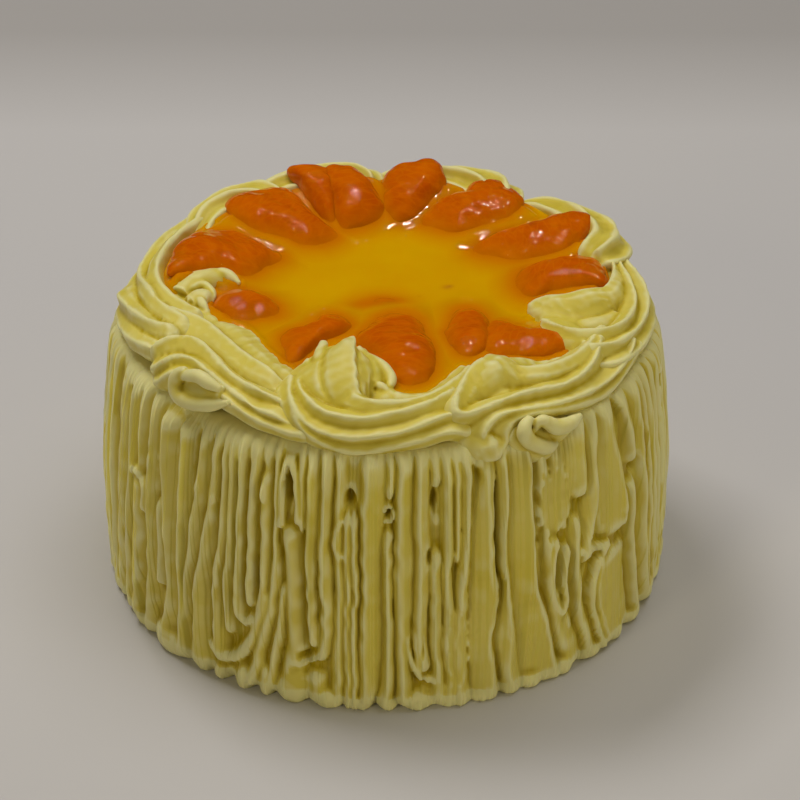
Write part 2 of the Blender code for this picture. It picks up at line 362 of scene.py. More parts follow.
@dataclass(frozen=True)
class Drum:
    """A closed round blank cut into columns and rows, whose points know their column and row.

    Attributes:
        name: The piece's name.
        columns: How many columns of faces go round it.
        rows: How many rows of faces go up it.
    """

    name: str
    columns: int
    rows: int

    def build(self) -> Piece:
        """Cut the blank from a cylinder of unit radius and height.

        Returns:
            The blank.
        """
        drum = fresh(bpy.ops.mesh.primitive_cylinder_add, self.name, vertices=self.columns, radius=1, depth=1,
                     end_fill_type="TRIFAN")
        bpy.context.tool_settings.mesh_select_mode = (False, True, False)
        with editing(drum):
            bpy.ops.mesh.select_all(action="DESELECT")
        heights = [vertex.co.z for vertex in drum.data.vertices]
        for edge in drum.data.edges:
            first, second = edge.vertices
            edge.select = heights[first] * heights[second] < 0.0
        with editing(drum):
            bpy.ops.mesh.subdivide(number_cuts=self.rows - 1)
        return drum

    def grid_places(self, drum: Piece) -> tuple[Array, Array, Array]:
        """Find where each point is on the blank.

        Args:
            drum: The blank.

        Returns:
            Each point's column and row, and whether it is the middle of an end.
        """
        points = read_points(drum.data) * MM
        hub = np.hypot(points[:, 0], points[:, 1]) < 0.5
        turned = np.mod(np.arctan2(points[:, 1], points[:, 0]) / (2 * math.pi), 1.0)
        column = np.round(turned * self.columns).astype(int) % self.columns
        row = np.round((points[:, 2] + 0.5) * self.rows).astype(int)
        return column, row, hub


class Ripple:
    """Smooth seeded unevenness on a sheet that closes on itself round the cake."""

    def __init__(self, seed: int, cells_round: int, cells_up: int) -> None:
        """Draw the values at the corners of the sheet's cells."""
        draw = np.random.default_rng(seed)
        self.corners = draw.uniform(-1.0, 1.0, (cells_up + 2, cells_round))

    def at(self, turns: Array, rise: Array) -> Array:
        """The unevenness at some places.

        Args:
            turns: Angles as shares of a full turn.
            rise: Heights as shares of the sheet's height, from 0 to 1.

        Returns:
            Numbers from -1 to 1, in the shape of the arguments.
        """
        rows, columns = self.corners.shape
        x = np.mod(turns, 1.0) * columns
        y = np.clip(rise, 0.0, 1.0) * (rows - 2)
        left, low = np.floor(x).astype(int), np.floor(y).astype(int)
        across, up = x - left, y - low
        across, up = across * across * (3 - 2 * across), up * up * (3 - 2 * up)
        left %= columns
        right = (left + 1) % columns
        lower = self.corners[low, left] * (1 - across) + self.corners[low, right] * across
        upper = self.corners[low + 1, left] * (1 - across) + self.corners[low + 1, right] * across
        return lower * (1 - up) + upper * up


# Finishes

class Wiring:
    """A node tree under construction, with a short way to add and join its nodes."""

    def __init__(self, tree: bpy.types.NodeTree) -> None:
        """Take the tree."""
        self.tree = tree

    def put(self, socket: Socket, value: Feed) -> None:
        """Join an input to an output, or set it.

        Args:
            socket: The input.
            value: An output, or a plain value.
        """
        if isinstance(value, Socket):
            self.tree.links.new(value, socket)
        else:
            socket.default_value = value

    def add(self, kind: str, output: str | int, inputs: dict[str | int, Feed], **settings: object) -> Socket:
        """Add a node and feed it.

        Args:
            kind: The node's kind, without ShaderNode.
            output: Which of its outputs is wanted.
            inputs: What goes into its inputs.
            settings: Its other settings.

        Returns:
            The output.
        """
        node = self.tree.nodes.new("ShaderNode" + kind)
        for name, value in settings.items():
            setattr(node, name, value)
        for name, value in inputs.items():
            self.put(node.inputs[name], value)
        return node.outputs[output]


class Effects:
    """Node groups for the effects that more than one finish uses, each built once."""

    def __init__(self) -> None:
        """Build the three groups."""
        self.mottle = self.make_mottle()
        self.relief = self.make_relief()
        self.specks = self.make_specks()

    @staticmethod
    def start(name: str, **inputs: float) -> tuple[Wiring, Sequence[Socket]]:
        """Start a group with a vector input and some number inputs.

        Args:
            name: The group's name.
            inputs: The number inputs, written with _ for a space, and their usual values.

        Returns:
            The group's wiring and what its inputs give.
        """
        tree = bpy.data.node_groups.new(name, "ShaderNodeTree")
        tree.interface.new_socket("Vector", in_out="INPUT", socket_type="NodeSocketVector")
        for label, value in inputs.items():
            label = label.replace("_", " ")
            socket = tree.interface.new_socket(label, in_out="INPUT", socket_type="NodeSocketFloat")
            socket.default_value = value
        return Wiring(tree), tree.nodes.new("NodeGroupInput").outputs

    @staticmethod
    def end(wiring: Wiring, label: str, result: Socket) -> bpy.types.NodeTree:
        """Give a group its one output.

        Args:
            wiring: The group's wiring.
            label: The output's name.
            result: What it gives.

        Returns:
            The group.
        """
        wiring.tree.interface.new_socket(label, in_out="OUTPUT", socket_type="NodeSocketFloat")
        wiring.put(wiring.tree.nodes.new("NodeGroupOutput").inputs[label], result)
        return wiring.tree

    def make_mottle(self) -> bpy.types.NodeTree:
        """Soft patches: a mask with even shores.

        Returns:
            The group.
        """
        wiring, given = self.start("soft_mottle", Scale=100, From=0.35, To=0.65)
        noise = wiring.add("TexNoise", "Fac", {
            "Vector": given["Vector"], "Scale": given["Scale"], "Detail": 3})
        return self.end(wiring, "Mask", wiring.add("MapRange", "Result", {
            "Value": noise, "From Min": given["From"], "From Max": given["To"]}))

    def make_relief(self) -> bpy.types.NodeTree:
        """Low relief: broad waves with finer grain on them.

        Returns:
            The group.
        """
        wiring, given = self.start("low_relief", Broad=200, Fine=1500, Fine_share=0.4, Detail=2)
        broad, fine = (wiring.add("TexNoise", "Fac", {
            "Vector": given["Vector"], "Scale": given[scale], "Detail": given["Detail"]})
            for scale in ("Broad", "Fine"))
        return self.end(wiring, "Height", wiring.add("Mix", "Result", {
            "Factor": given["Fine share"], "A": broad, "B": fine}))

    def make_specks(self) -> bpy.types.NodeTree:
        """Scattered round specks: a mask with soft rims.

        Returns:
            The group.
        """
        wiring, given = self.start("specks", Scale=400, Size=0.12, Share=0.3)
        distance = wiring.add("TexVoronoi", "Distance", {"Vector": given["Vector"], "Scale": given["Scale"]})
        rim = wiring.add("MapRange", "Result", {
            "Value": distance, "From Max": given["Size"], "To Min": 1, "To Max": 0})
        pick = wiring.add("Math", "Value", {
            0: distance.node.outputs["Color"], 1: given["Share"]}, operation="LESS_THAN")
        return self.end(wiring, "Mask", wiring.add("Math", "Value", {0: rim, 1: pick}, operation="MULTIPLY"))


class Palette(Wiring):
    """A material under construction."""

    def __init__(self, name: str) -> None:
        """Start a material with its Principled shader.

        Args:
            name: The material's name.
        """
        self.material = bpy.data.materials.new(name)
        self.material.use_nodes = True
        super().__init__(self.material.node_tree)
        self.shader = self.tree.nodes["Principled BSDF"]

    def finish(self, **values: Feed) -> Material:
        """Feed the shader's own sockets.

        Args:
            values: What goes into each socket, written with _ for a space.

        Returns:
            The finished material.
        """
        for name, value in values.items():
            self.put(self.shader.inputs[name.replace("_", " ")], value)
        return self.material

    def place(self) -> Socket:
        """The place on the piece, in metres."""
        return self.add("TexCoord", "Object", {})

    def attribute(self, name: str, output: str = "Fac") -> Socket:
        """A value that the piece's mesh stores for each point."""
        return self.add("Attribute", output, {}, attribute_name=name)

    def effect(self, group: bpy.types.NodeTree, vector: Socket, **values: float) -> Socket:
        """A shared effect with its own values."""
        given = {name.replace("_", " "): value for name, value in values.items()}
        return self.add("Group", 0, {"Vector": vector, **given}, node_tree=group)

    def blend(self, mask: Socket, low: Feed, high: Feed) -> Socket:
        """A colour that goes from low to high as a mask goes from 0 to 1."""
        return self.add("Mix", 2, {0: mask, 6: low, 7: high}, data_type="RGBA")

    def spread(self, source: Socket, low: float, high: float, to_low: float = 0,
               to_high: float = 1) -> Socket:
        """A number stretched from one range to another, and kept inside it."""
        return self.add("MapRange", "Result", {
            "Value": source, "From Min": low, "From Max": high, "To Min": to_low, "To Max": to_high})

    def times(self, first: Socket, second: Feed) -> Socket:
        """The product of a number and another one."""
        return self.add("Math", "Value", {0: first, 1: second}, operation="MULTIPLY")

    def bump(self, height: Socket, depth: float, strength: float, **under: Socket) -> Socket:
        """A normal from a height, with its depth in millimetres, over an earlier Normal if one is given."""
        return self.add("Bump", "Normal", {
            "Height": height, "Distance": depth * MM, "Strength": strength, **under})


@dataclass(frozen=True)
class CreamFinish:
    """Whipped cream tinted butter yellow: soft satin, with painted shade in its creases and a painted
    highlight on its crests.

    Attributes:
        open_face: Its colour on open faces.
        crease: The colour of the painted shade in deep creases.
        pale: Its paler colour: a painted highlight on crests, and also the tone of random patches on open
            faces.
        patchy: How far patches of the open faces go towards the pale colour.
        crest_highlight_hollow: The hollow values at which the painted crest highlight begins and is full.
        crease_shade_hollow: The same for the painted crease shade.
        roughness: Its least and greatest roughness.
        grain: The depth and strength of its fine relief.
    """

    open_face: Colour = (0.655, 0.534, 0.072, 1.0)
    # Painted shade: the colour that deep creases are darkened towards.
    crease: Colour = (0.47, 0.34, 0.009, 1.0)
    # Painted highlight on crests, and the tone of random pale patches on open faces.
    pale: Colour = (0.76, 0.70, 0.31, 1.0)
    patchy: float = 0.20
    crest_highlight_hollow: Spot = (0.48, 0.29)
    crease_shade_hollow: Spot = (0.53, 0.81)
    roughness: Spot = (0.36, 0.50)
    grain: Spot = (0.22, 0.25)

    def build(self, effects: Effects) -> Material:
        """Build the material, which reads the piece's "hollow" values to paint shade into creases and a
        highlight onto crests.

        Args:
            effects: The shared effects.

        Returns:
            The material.
        """
        paint = Palette("butter_cream")
        place, hollow = paint.place(), paint.attribute("hollow")
        patches = paint.effect(effects.mottle, place, Scale=28, From=0.40, To=0.70)
        body = paint.blend(paint.times(patches, self.patchy), self.open_face, self.pale)
        # Painted highlight: crests are lightened towards the pale colour.
        body = paint.blend(paint.spread(hollow, *self.crest_highlight_hollow), body, self.pale)
        # Painted shade: deep creases are darkened towards the crease colour.
        body = paint.blend(paint.spread(hollow, *self.crease_shade_hollow), body, self.crease)
        gloss = paint.effect(effects.mottle, place, Scale=260, From=0.3, To=0.7)
        grain = paint.effect(effects.relief, place, Broad=330, Fine=1300, Fine_share=0.15, Detail=0)
        return paint.finish(
            Base_Color=body, Roughness=paint.spread(gloss, 0, 1, *self.roughness),
            Normal=paint.bump(grain, *self.grain), Subsurface_Weight=0.12,
            Subsurface_Radius=(1.0, 0.62, 0.20), Subsurface_Scale=0.0012, Specular_IOR_Level=0.40)


@dataclass(frozen=True)
class GlazeFinish:
    """Clear mango glaze: wet, deep yellow, and more orange where fruit shows through.

    Attributes:
        open_pool: Its lighter colour.
        deep_pool: Its deeper colour, in patches.
        by_fruit: Its colour beside fruit.
        fleck: The colour of its flecks.
        waves: The depth and strength of its broad waves.
        lumps: The same for the lumps beside fruit.
    """

    open_pool: Colour = (0.66, 0.345, 0.0005, 1.0)
    deep_pool: Colour = (0.63, 0.305, 0.0005, 1.0)
    by_fruit: Colour = (0.59, 0.158, 0.0005, 1.0)
    fleck: Colour = (0.45, 0.14, 0.01, 1.0)
    waves: Spot = (0.25, 0.25)
    lumps: Spot = (0.45, 0.38)

    def build(self, effects: Effects) -> Material:
        """Build the material, which reads the piece's "near_fruit" and "fleck" values.

        Args:
            effects: The shared effects.

        Returns:
            The material.
        """
        paint = Palette("mango_glaze_look")
        place, near_fruit = paint.place(), paint.attribute("near_fruit")
        patches = paint.effect(effects.mottle, place, Scale=30, From=0.38, To=0.66)
        pool = paint.blend(patches, self.open_pool, self.deep_pool)
        pool = paint.blend(near_fruit, pool, self.by_fruit)
        waves = paint.effect(effects.relief, place, Broad=60, Fine=300, Fine_share=0.12, Detail=0)
        lumps = paint.effect(effects.relief, place, Broad=210, Fine=520, Fine_share=0.20, Detail=0)
        under = paint.bump(waves, *self.waves)
        return paint.finish(
            Base_Color=paint.blend(paint.attribute("fleck"), pool, self.fleck),
            Normal=paint.bump(paint.times(lumps, near_fruit), *self.lumps, Normal=under), Roughness=0.05,
            Subsurface_Weight=0.35, Subsurface_Radius=(1.0, 0.45, 0.02), Subsurface_Scale=0.004,
            Specular_IOR_Level=0.27, IOR=1.38)


@dataclass(frozen=True)
class FruitFinish:
    """Mandarin flesh under clear glaze: orange juice sacs, wet, with small glints painted into its colour.

    Attributes:
        flesh: Its colour.
        sac_wall: The colour of the sacs' walls.
        deep: Its colour in deeper patches.
        glazed: Its colour where glaze covers it.
        glint: The colour of the glints painted into its base colour.
        sacs: How many sacs there are to a millimetre along each of its axes.
        wall: How far from a sac's edge its wall begins and ends.
        wall_share: How strong the walls' colour is.
        glint_share: How strong the painted glints' colour is.
        sac_relief: The depth and strength of the sacs' relief.
        skin_relief: The same for the skin's.
    """

    flesh: Colour = (0.60, 0.118, 0.0005, 1.0)
    sac_wall: Colour = (0.66, 0.170, 0.001, 1.0)
    deep: Colour = (0.53, 0.088, 0.0005, 1.0)
    glazed: Colour = (0.59, 0.158, 0.0005, 1.0)
    glint: Colour = (0.95, 0.55, 0.08, 1.0)
    sacs: Spot3 = (0.42, 0.14, 0.42)
    wall: Spot = (0.02, 0.14)
    wall_share: float = 0.30
    glint_share: float = 0.7
    sac_relief: Spot = (0.06, 0.10)
    skin_relief: Spot = (0.72, 0.70)

    def build(self, effects: Effects) -> Material:
        """Build the material, which reads the piece's "pulp" and "glazed" values.

        Args:
            effects: The shared effects.

        Returns:
            The material.
        """
        paint = Palette("mandarin_flesh")
        place = paint.place()
        pulp = paint.add("Mapping", "Vector", {
            "Vector": paint.attribute("pulp", "Vector"), "Scale": self.sacs})
        sacs = paint.add("TexVoronoi", "Distance", {"Vector": pulp, "Scale": 1}, feature="DISTANCE_TO_EDGE")
        walls = paint.spread(sacs, *self.wall, 1, 0)
        patches = paint.effect(effects.mottle, place, Scale=120, From=0.35, To=0.68)
        flesh = paint.blend(patches, self.flesh, self.deep)
        flesh = paint.blend(paint.times(walls, self.wall_share), flesh, self.sac_wall)
        flesh = paint.blend(paint.attribute("glazed"), flesh, self.glazed)
        # Painted glints: bright specks blended into the base colour, standing in for small reflections.
        glints = paint.effect(effects.specks, place, Scale=520, Size=0.16, Share=0.10)
        skin = paint.effect(effects.relief, place, Broad=270, Fine=640, Fine_share=0.26, Detail=0)
        under = paint.bump(sacs, *self.sac_relief)
        return paint.finish(
            Base_Color=paint.blend(paint.times(glints, self.glint_share), flesh, self.glint),
            Normal=paint.bump(skin, *self.skin_relief, Normal=under), Roughness=0.06, Subsurface_Weight=0.30,
            Subsurface_Radius=(1.0, 0.30, 0.02), Subsurface_Scale=0.004, Specular_IOR_Level=0.45, IOR=1.38)


@dataclass(frozen=True)
class FloorFinish:
    """A plain pale floor, whose tone falls off beyond the horizon, given in metres along Y, as painted shade
    standing in for the dimmer backdrop there.
    """

    colour: Colour = (0.545, 0.522, 0.510, 1.0)
    # Painted shade: the darker tone beyond the horizon.
    far_shade: Colour = (0.405, 0.382, 0.365, 1.0)
    horizon: Spot = (0.34, 0.46)

    def build(self) -> Material:
        """Build the material.

        Returns:
            The material.
        """
        paint = Palette("pale_floor")
        far = paint.spread(paint.add("SeparateXYZ", "Y", {"Vector": paint.place()}), *self.horizon)
        # Painted shade: the floor darkens beyond the horizon.
        tone = paint.blend(far, self.colour, self.far_shade)
        return paint.finish(Base_Color=tone, Roughness=0.75, Specular_IOR_Level=0.2)


@dataclass(frozen=True)
class Looks:
    """The finished materials."""

    cream: Material
    glaze: Material
    fruit: Material
    floor: Material


# The side: folds of cream drawn up and down

class Mark(Enum):
    """What a blemish on the side does to the cream."""

    PIT = "a small hole with a raised rim"
    SMEAR = "a patch pressed flat, with a ragged edge"
    LUMP = "a torn bit that stands out"


@dataclass(frozen=True)
class Fold:
    """One fold of cream that runs up the side.

    Attributes:
        stations: From its top down: the height, then the angles of its left edge, crest and right edge.
        sunk: How far its crest lies below the side's outline.
        bead: How far a thin ridge stands up along its crest.
    """

    stations: tuple[Row, ...]
    sunk: float = 0.0
    bead: float = 0.0


@dataclass(frozen=True)
class Loop:
    """A thin strand that doubles back: its centre line as angles and heights, and its half width."""

    route: tuple[Spot, ...]
    half_width: float
    sunk: float = 0.0


@dataclass(frozen=True)
class Blemish:
    """A place on the side where the folds are disturbed: its middle, half sizes and strength."""

    mark: Mark
    angle: float
    height: float
    half_width: float
    half_height: float
    strength: float


FRONT_FOLDS = (
    Fold(((93, 199, 203, 206.2), (60, 199.6, 204, 207), (30, 198, 202.6, 205.4), (-1, 195.6, 199.6, 203)),
         0.9),
    Fold(((93, 206, 208, 211), (60, 206.8, 208.6, 211.2), (30, 205.2, 207, 209), (-1, 202.6, 204.6, 207.2)),
         0.6),
    Fold(((61, 208.8, 212.6, 214.9), (50, 208.6, 213.2, 215.4), (40, 208.4, 213.2, 215.4),
         (25, 207.8, 211.6, 213.4), (2, 206, 208.8, 211.2)), 0),
    Fold(((93, 210.9, 212.2, 214.1), (60, 211.2, 212.8, 214.4)), 0.8),
    Fold(((93, 214, 216.4, 218.5), (60, 214.5, 216.2, 218.8), (40, 215.3, 217.2, 219.6),
         (20, 213.4, 215.6, 218.6), (-2, 210.8, 213, 216)), 0.7),
    Fold(((58, 218.4, 219.6, 221.2), (40, 219.2, 220.4, 221.8), (24, 218.4, 219.6, 221)), 0.9),
    Fold(((89.5, 218.4, 220.8, 224.7), (70, 219.6, 221.4, 225.2), (45, 221.2, 222.9, 225.4),
         (30, 222.2, 223.8, 226), (15, 219.6, 222.2, 225.8), (1, 215.8, 219.6, 224.2)), 0.1),
    Fold(((90, 224.8, 226.2, 229.6), (70, 225.3, 226.6, 229.7), (50, 225.2, 226.4, 228.4),
         (30, 225.9, 226.6, 227.7), (8, 225, 226, 227)), 0),
    Fold(((93, 230.4, 232.4, 234.4), (70, 229.6, 231.4, 234.2), (60, 228.4, 230.6, 233.2),
         (50, 227.8, 229.6, 232), (30, 226.6, 228, 229.8), (1, 223, 225.2, 228.4)), 0.3, 0.2),
    Fold(((93, 234.6, 235.8, 236.9), (68, 233.4, 235.2, 236.6), (60, 232.6, 234.2, 236.3),
         (50, 231.4, 232.8, 235.4), (40, 230.2, 231.6, 234.4), (30, 229.4, 230.8, 234),
         (15, 228.4, 230.4, 234.1), (1, 227, 230, 233.4)), 0),
    Fold(((93, 237, 237.6, 238.5), (60, 236.5, 237.2, 238.2), (45, 235, 236.2, 237.5),
         (30, 234.1, 235.4, 237.3), (17, 234, 235.4, 238), (7, 233.8, 236, 239)), 0.3),
    Fold(((93, 238.4, 239.1, 240.4), (60, 238.1, 238.8, 240), (40, 237.2, 238.2, 239.7),
         (20, 237.1, 238, 239.5)), 0.5),
    Fold(((93, 240.4, 241.3, 242.5), (60, 240.1, 240.9, 242.1), (40, 239.8, 240.6, 241.9),
         (27, 239.6, 241.2, 243.4)), 0.2),
    Fold(((93, 242.8, 244, 245.2), (60, 242.4, 243.4, 244.7), (42, 242.3, 243.2, 244.5),
         (33, 242.6, 243.4, 244.4)), 0.2),
    Fold(((84, 245, 246.5, 248), (60, 245, 246.4, 248.2), (45, 245.2, 246.2, 247.4), (32, 244, 245.4, 246.4)),
         0.1),
    Fold(((93, 245.2, 246.4, 248), (76, 245, 246.4, 248)), 1.3),
    Fold(((93, 248, 248.6, 249.3), (60, 248.2, 248.7, 249.4), (48, 247.5, 248.5, 250.1),
         (30, 245.6, 247, 248.9), (17, 243.2, 244.8, 246.8), (1, 239.8, 242.2, 244.6)), 0.1),
    Fold(((46, 249.9, 250.5, 251.3), (30, 248.8, 249.5, 250.6), (15, 246.7, 247.8, 249.4),
         (1, 244.6, 246.2, 248.6)), 0.3),
    Fold(((67, 249.5, 251.4, 254.3), (50, 250.2, 252, 254.6), (30, 250.5, 252.4, 255),
         (18, 249.8, 252, 255.2), (1, 248.4, 251, 254.4)), 0.4),
    Fold(((93, 252.9, 253.9, 254.7), (64, 253.3, 254, 254.7)), 0.4),
    Fold(((93, 254.7, 255.3, 257), (60, 254.7, 255.3, 257.2), (40, 255, 255.6, 257.3),
         (23, 255.4, 256.2, 257.8)), 0, 0.2),
    Fold(((93, 257.2, 258.2, 259.9), (70, 257.2, 258.2, 259.8), (50, 257.3, 258.4, 260.1),
         (38, 257.7, 258.9, 260.3), (26, 257.1, 258.4, 260), (18, 256.4, 257.6, 259)), 0, 0.2),
    Fold(((16, 254.6, 256.8, 259), (0, 254.2, 257, 260)), 0.6),
    Fold(((93, 260, 260.9, 262.4), (60, 260.2, 261.1, 262.3), (40, 260.4, 261.3, 262.4),
         (20, 259.6, 261, 262.2), (0, 259.4, 260.8, 262)), 0.7),
    Fold(((73, 262.3, 262.8, 263.7), (20, 262, 262.6, 263.4), (-2, 261.9, 262.7, 263.5)), 0.4),
    Fold(((73, 263.6, 264.2, 265), (50, 263.6, 264.1, 264.9), (20, 263.3, 263.8, 264.7),
         (-2, 263.2, 263.9, 264.6)), 0.1),
    Fold(((93, 264.9, 266.4, 270), (70, 265, 266.2, 269.8), (40, 264.9, 266.1, 269.6),
         (20, 264.6, 266, 269.3), (1, 264.4, 265.9, 267.8)), 0, 0.1),
    Fold(((93, 269.9, 270.6, 271.6), (77, 269.8, 270.6, 271.6)), 0.7),
    Fold(((68, 269.7, 270.4, 271.4), (40, 269.6, 270.3, 271.3), (20, 269.3, 270.2, 271.4),
         (0, 267.9, 269.7, 271.6)), 0.2, 0.2),
    Fold(((93, 271.6, 272.7, 275.5), (70, 271.5, 272.7, 275.4), (50, 271.3, 272.7, 275.3),
         (30, 271.3, 272.8, 275.1), (14, 271.6, 273.2, 275.2), (1, 271.8, 273.4, 275.6)), 0),
    Fold(((93, 275.6, 276.4, 278.4), (70, 275.5, 276.4, 278.2), (50, 275.3, 276.3, 278.3),
         (35, 275.2, 276.2, 277.9), (15, 276.4, 277.4, 278.8)), 0, 0.25),
    Fold(((33, 275, 275.5, 276.2), (14, 275.8, 276.4, 277.2)), 0.3),
    Fold(((93, 278.4, 279.3, 280.4), (80, 278.4, 279.2, 280.4)), 0.9),
    Fold(((60, 278.3, 279, 280.5), (40, 278.2, 278.9, 280.4), (20, 278.8, 279.7, 281),
         (2, 278.6, 280, 281.6)), 0.4, 0.2),
    Fold(((93, 280.4, 281.6, 282.8), (60, 280.6, 281.5, 282.7), (45, 280.5, 281.2, 282.5),
         (20, 280.9, 281.8, 283), (2, 281.4, 282.6, 284.2)), 0.2),
    Fold(((93, 282.6, 283.2, 284.4), (70, 282.9, 283.5, 284.5), (54, 282.7, 283.2, 284)), 0.9),
    Fold(((93, 284.2, 285.6, 286.6), (81, 284.4, 285.6, 286.5), (67, 284.5, 285.5, 286.3),
         (54, 283.8, 284.8, 286.1), (40, 282.7, 283.6, 285.5), (25, 282.4, 283.4, 285.2),
         (10, 282.2, 284, 286.2), (-2, 282.6, 284.6, 287.2)), 0, 0.15),
    Fold(((93, 287.6, 288.6, 291.4), (81, 287.7, 289.2, 291.7), (67, 286.4, 289.6, 291.3),
         (54, 286.2, 289.8, 291.5), (40, 285.6, 290.3, 292.4), (25, 285.3, 289.7, 290.9),
         (10, 286.4, 290.4, 292.2), (-2, 287.2, 290.6, 293)), 0.2, 0.25),
    Fold(((93, 291.6, 292.9, 294), (81, 291.9, 293.2, 294), (54, 291.9, 292.5, 293.6),
         (40, 292.5, 293.1, 294.1), (25, 290.7, 293.8, 295.8), (10, 292.3, 294, 297),
         (-2, 293.2, 295.4, 298.4)), 0.1, 0.3),
    Fold(((93, 294, 297.6, 298.6), (81, 293.8, 298.3, 299.2), (67, 293.6, 298.1, 299.1),
         (54, 293.5, 298.6, 299.8), (40, 294, 299.5, 300.9), (25, 295.7, 301.8, 303.4),
         (10, 296.9, 303.8, 305.8), (-2, 298.6, 305.6, 308)), 0.25, 0.4),
    Fold(((93, 298.2, 300.2, 302.4), (78, 299.6, 301.4, 303.6), (60, 300.9, 302.2, 304.2),
         (46, 301.6, 302.8, 304.4), (30, 302.2, 303.8, 306.8), (14, 304.4, 306.6, 311), (1, 308, 310, 313.8)),
         0.5),
    Fold(((93, 302.4, 304.4, 307.2), (74, 303.6, 305.6, 308.8)), 1),
    Fold(((60, 307.9, 309, 311), (38, 308.2, 309.4, 311.2), (20, 309.6, 311, 313.6), (1, 313.4, 315, 318)),
         0.5),
    Fold(((93, 307, 312.3, 314), (84, 306.4, 311.4, 313.6), (74, 306.8, 310.7, 313),
         (64, 308.6, 310.7, 312.4)), 0.1, 0.35),
    Fold(((93, 314, 316, 317.6), (78, 312.8, 314.4, 316.6), (62, 311.8, 314, 316.2),
         (52, 310.8, 312.6, 314.4), (40, 309.8, 311.2, 312.8)), 0.1),
    Fold(((93, 317.2, 318.8, 322.8), (80, 316.4, 319.8, 322.8), (70, 316.2, 321.4, 324.2),
         (58, 315.8, 322.8, 325), (44, 315.6, 323, 325.2)), 0, 0.2),
    Fold(((41, 314, 316.4, 325), (30, 313.6, 315.2, 325), (15, 315, 316.9, 327), (1, 318.4, 320.8, 329.8)),
         0.1, 0.45),
    Fold(((93, 322.8, 323.8, 327.2), (78, 324.8, 326, 329.8), (64, 325.6, 327.8, 330.6)), 0.2, 0.4),
    Fold(((60, 325, 326, 329.4), (40, 325, 326.2, 329.6), (20, 326.8, 328.4, 331.8),
         (1, 329.8, 331.8, 335.8)), 0.2, 0.2),
    Fold(((93, 327.4, 330.2, 333.4), (60, 330, 331.8, 334.8), (30, 331, 333, 336.6),
         (1, 335.6, 337.8, 341.2)), 0.4, 0.3),
)
FRONT_LOBES = (
    (207, 213.6, 8, 0.4), (215, 228, 12.5, -0.4), (228.6, 233, 6, 0.3), (233.2, 237.4, 8, 0.2),
    (238.6, 243.4, 12, 0), (244.2, 247.8, 14, 0.1), (247.8, 254.6, 12, -0.2), (255.2, 262.2, 9, -0.1),
    (262.6, 267.8, 7, 0.2), (268.4, 272.6, 6, 0.1), (272.8, 279, 8.5, -0.2), (279.6, 285.2, 6.5, 0.1),
    (285.8, 292, 5.5, 0.2), (292.4, 296.4, 8, 0.1), (296.6, 303, 7, 0), (304, 311, 10, 0),
    (311.8, 319.4, 7.5, 0.2), (320.4, 326, 9, 0.3), (327, 335, 8, 0.1),
)
FRONT_LOOPS = (
    Loop(((249.8, 66), (249.9, 80), (250.8, 87), (251.9, 87.2), (252.7, 80), (253, 68)), 1.1),
    Loop(((240.6, 36), (240.9, 29.5), (242.4, 27.2), (243.7, 30.5)), 1.15, 0),
    Loop(((246.4, 40), (245.3, 30), (243, 20), (240, 13.4), (236.4, 11.4), (234.6, 14)), 2.1, 0.1),
    Loop(((258.9, 36), (258.4, 25), (256.6, 19.6), (254.2, 17), (252, 17.4)), 0.9, 0),
    Loop(((261.8, 70), (260.6, 66), (261, 59), (262.2, 58)), 0.8, 0.2),
    Loop(((274, 30), (275, 20), (276.8, 13.6), (279.4, 12.2)), 0.8, 0.1),
    Loop(((306.6, 50), (306, 40), (306.6, 31), (305.8, 26.6), (303.9, 31), (303, 42), (304, 53)), 1.1, 0),
    Loop(((310.4, 46), (313, 43), (317.6, 43.8)), 0.9, 0),
    Loop(((317.8, 42.6), (315.2, 38.6), (313.8, 32), (313.9, 23), (315.8, 12), (318.8, 2)), 1.2, 0),
    Loop(((209.6, 60.2), (212.6, 61.6), (214.9, 58.4), (215.2, 50)), 1, 0),
    Loop(((269.8, 70.4), (270.9, 70.2), (271.3, 73.4), (270.4, 75.6), (269.6, 73.6)), 0.55, 0.3),
)
FRONT_BLEMISHES = [Blemish(mark, *sizes) for mark, places in (
    (Mark.SMEAR, (
        (304.6, 67, 7, 12, 0.9), (283.8, 24, 3.4, 15, 0.55), (252.6, 8, 4.8, 7, 0.55),
        (279.6, 6, 6, 5.5, 0.6), (217, 66, 3, 9, 0.4), (241, 90, 20, 5, 0.5), (206, 92, 12, 6, 0.6),
        (289, 92, 9, 6, 0.7), (318, 92, 11, 4, 0.3), (320, 47, 5, 6, 0.4))),
    (Mark.PIT, (
        (251.4, 78.5, 1.6, 7, 3.2), (263.1, 77, 1.9, 2.4, 3.4), (270.4, 73, 0.9, 1.6, 2.4),
        (279.2, 75.5, 1.3, 4.4, 2.6), (278, 57.5, 1, 2.4, 2.2), (291.7, 62, 0.75, 21, 3),
        (304.8, 42, 1.3, 8, 2.6), (313.6, 47.6, 2.6, 3, 2), (245, 46, 0.8, 8, 2), (242.2, 36, 0.7, 6, 2),
        (230, 76, 1, 12, 1.8), (254.4, 19.6, 2.8, 1.5, 2.4), (219.6, 22.5, 2, 1.6, 1.4),
        (285.6, 22, 0.8, 1, 1.4), (300.6, 55, 0.9, 1.4, 1.6), (329, 63, 2.4, 3.6, 2),
        (275.2, 11.8, 1.2, 1, 1.4), (276.9, 24, 0.6, 5, 1.4))),
    (Mark.LUMP, (
        (216.2, 68.5, 1.4, 3.4, 1.1), (246.2, 76, 1.8, 4, 1.9), (231.4, 70.5, 1.3, 3, 1),
        (235.4, 68.5, 1.3, 1.8, 1), (279.8, 69, 1.7, 1.6, 2), (270.6, 80, 0.9, 4, 0.9),
        (308.4, 21, 2.4, 4, 1.3), (276.4, 12, 1.9, 1.2, 1), (238.2, 5, 2.6, 2, 1.2), (309.8, 63, 1, 4, 0.9),
        (302, 53.5, 3.4, 0.8, 0.7), (323.4, 52, 1.6, 2, 0.5))),
) for sizes in places]


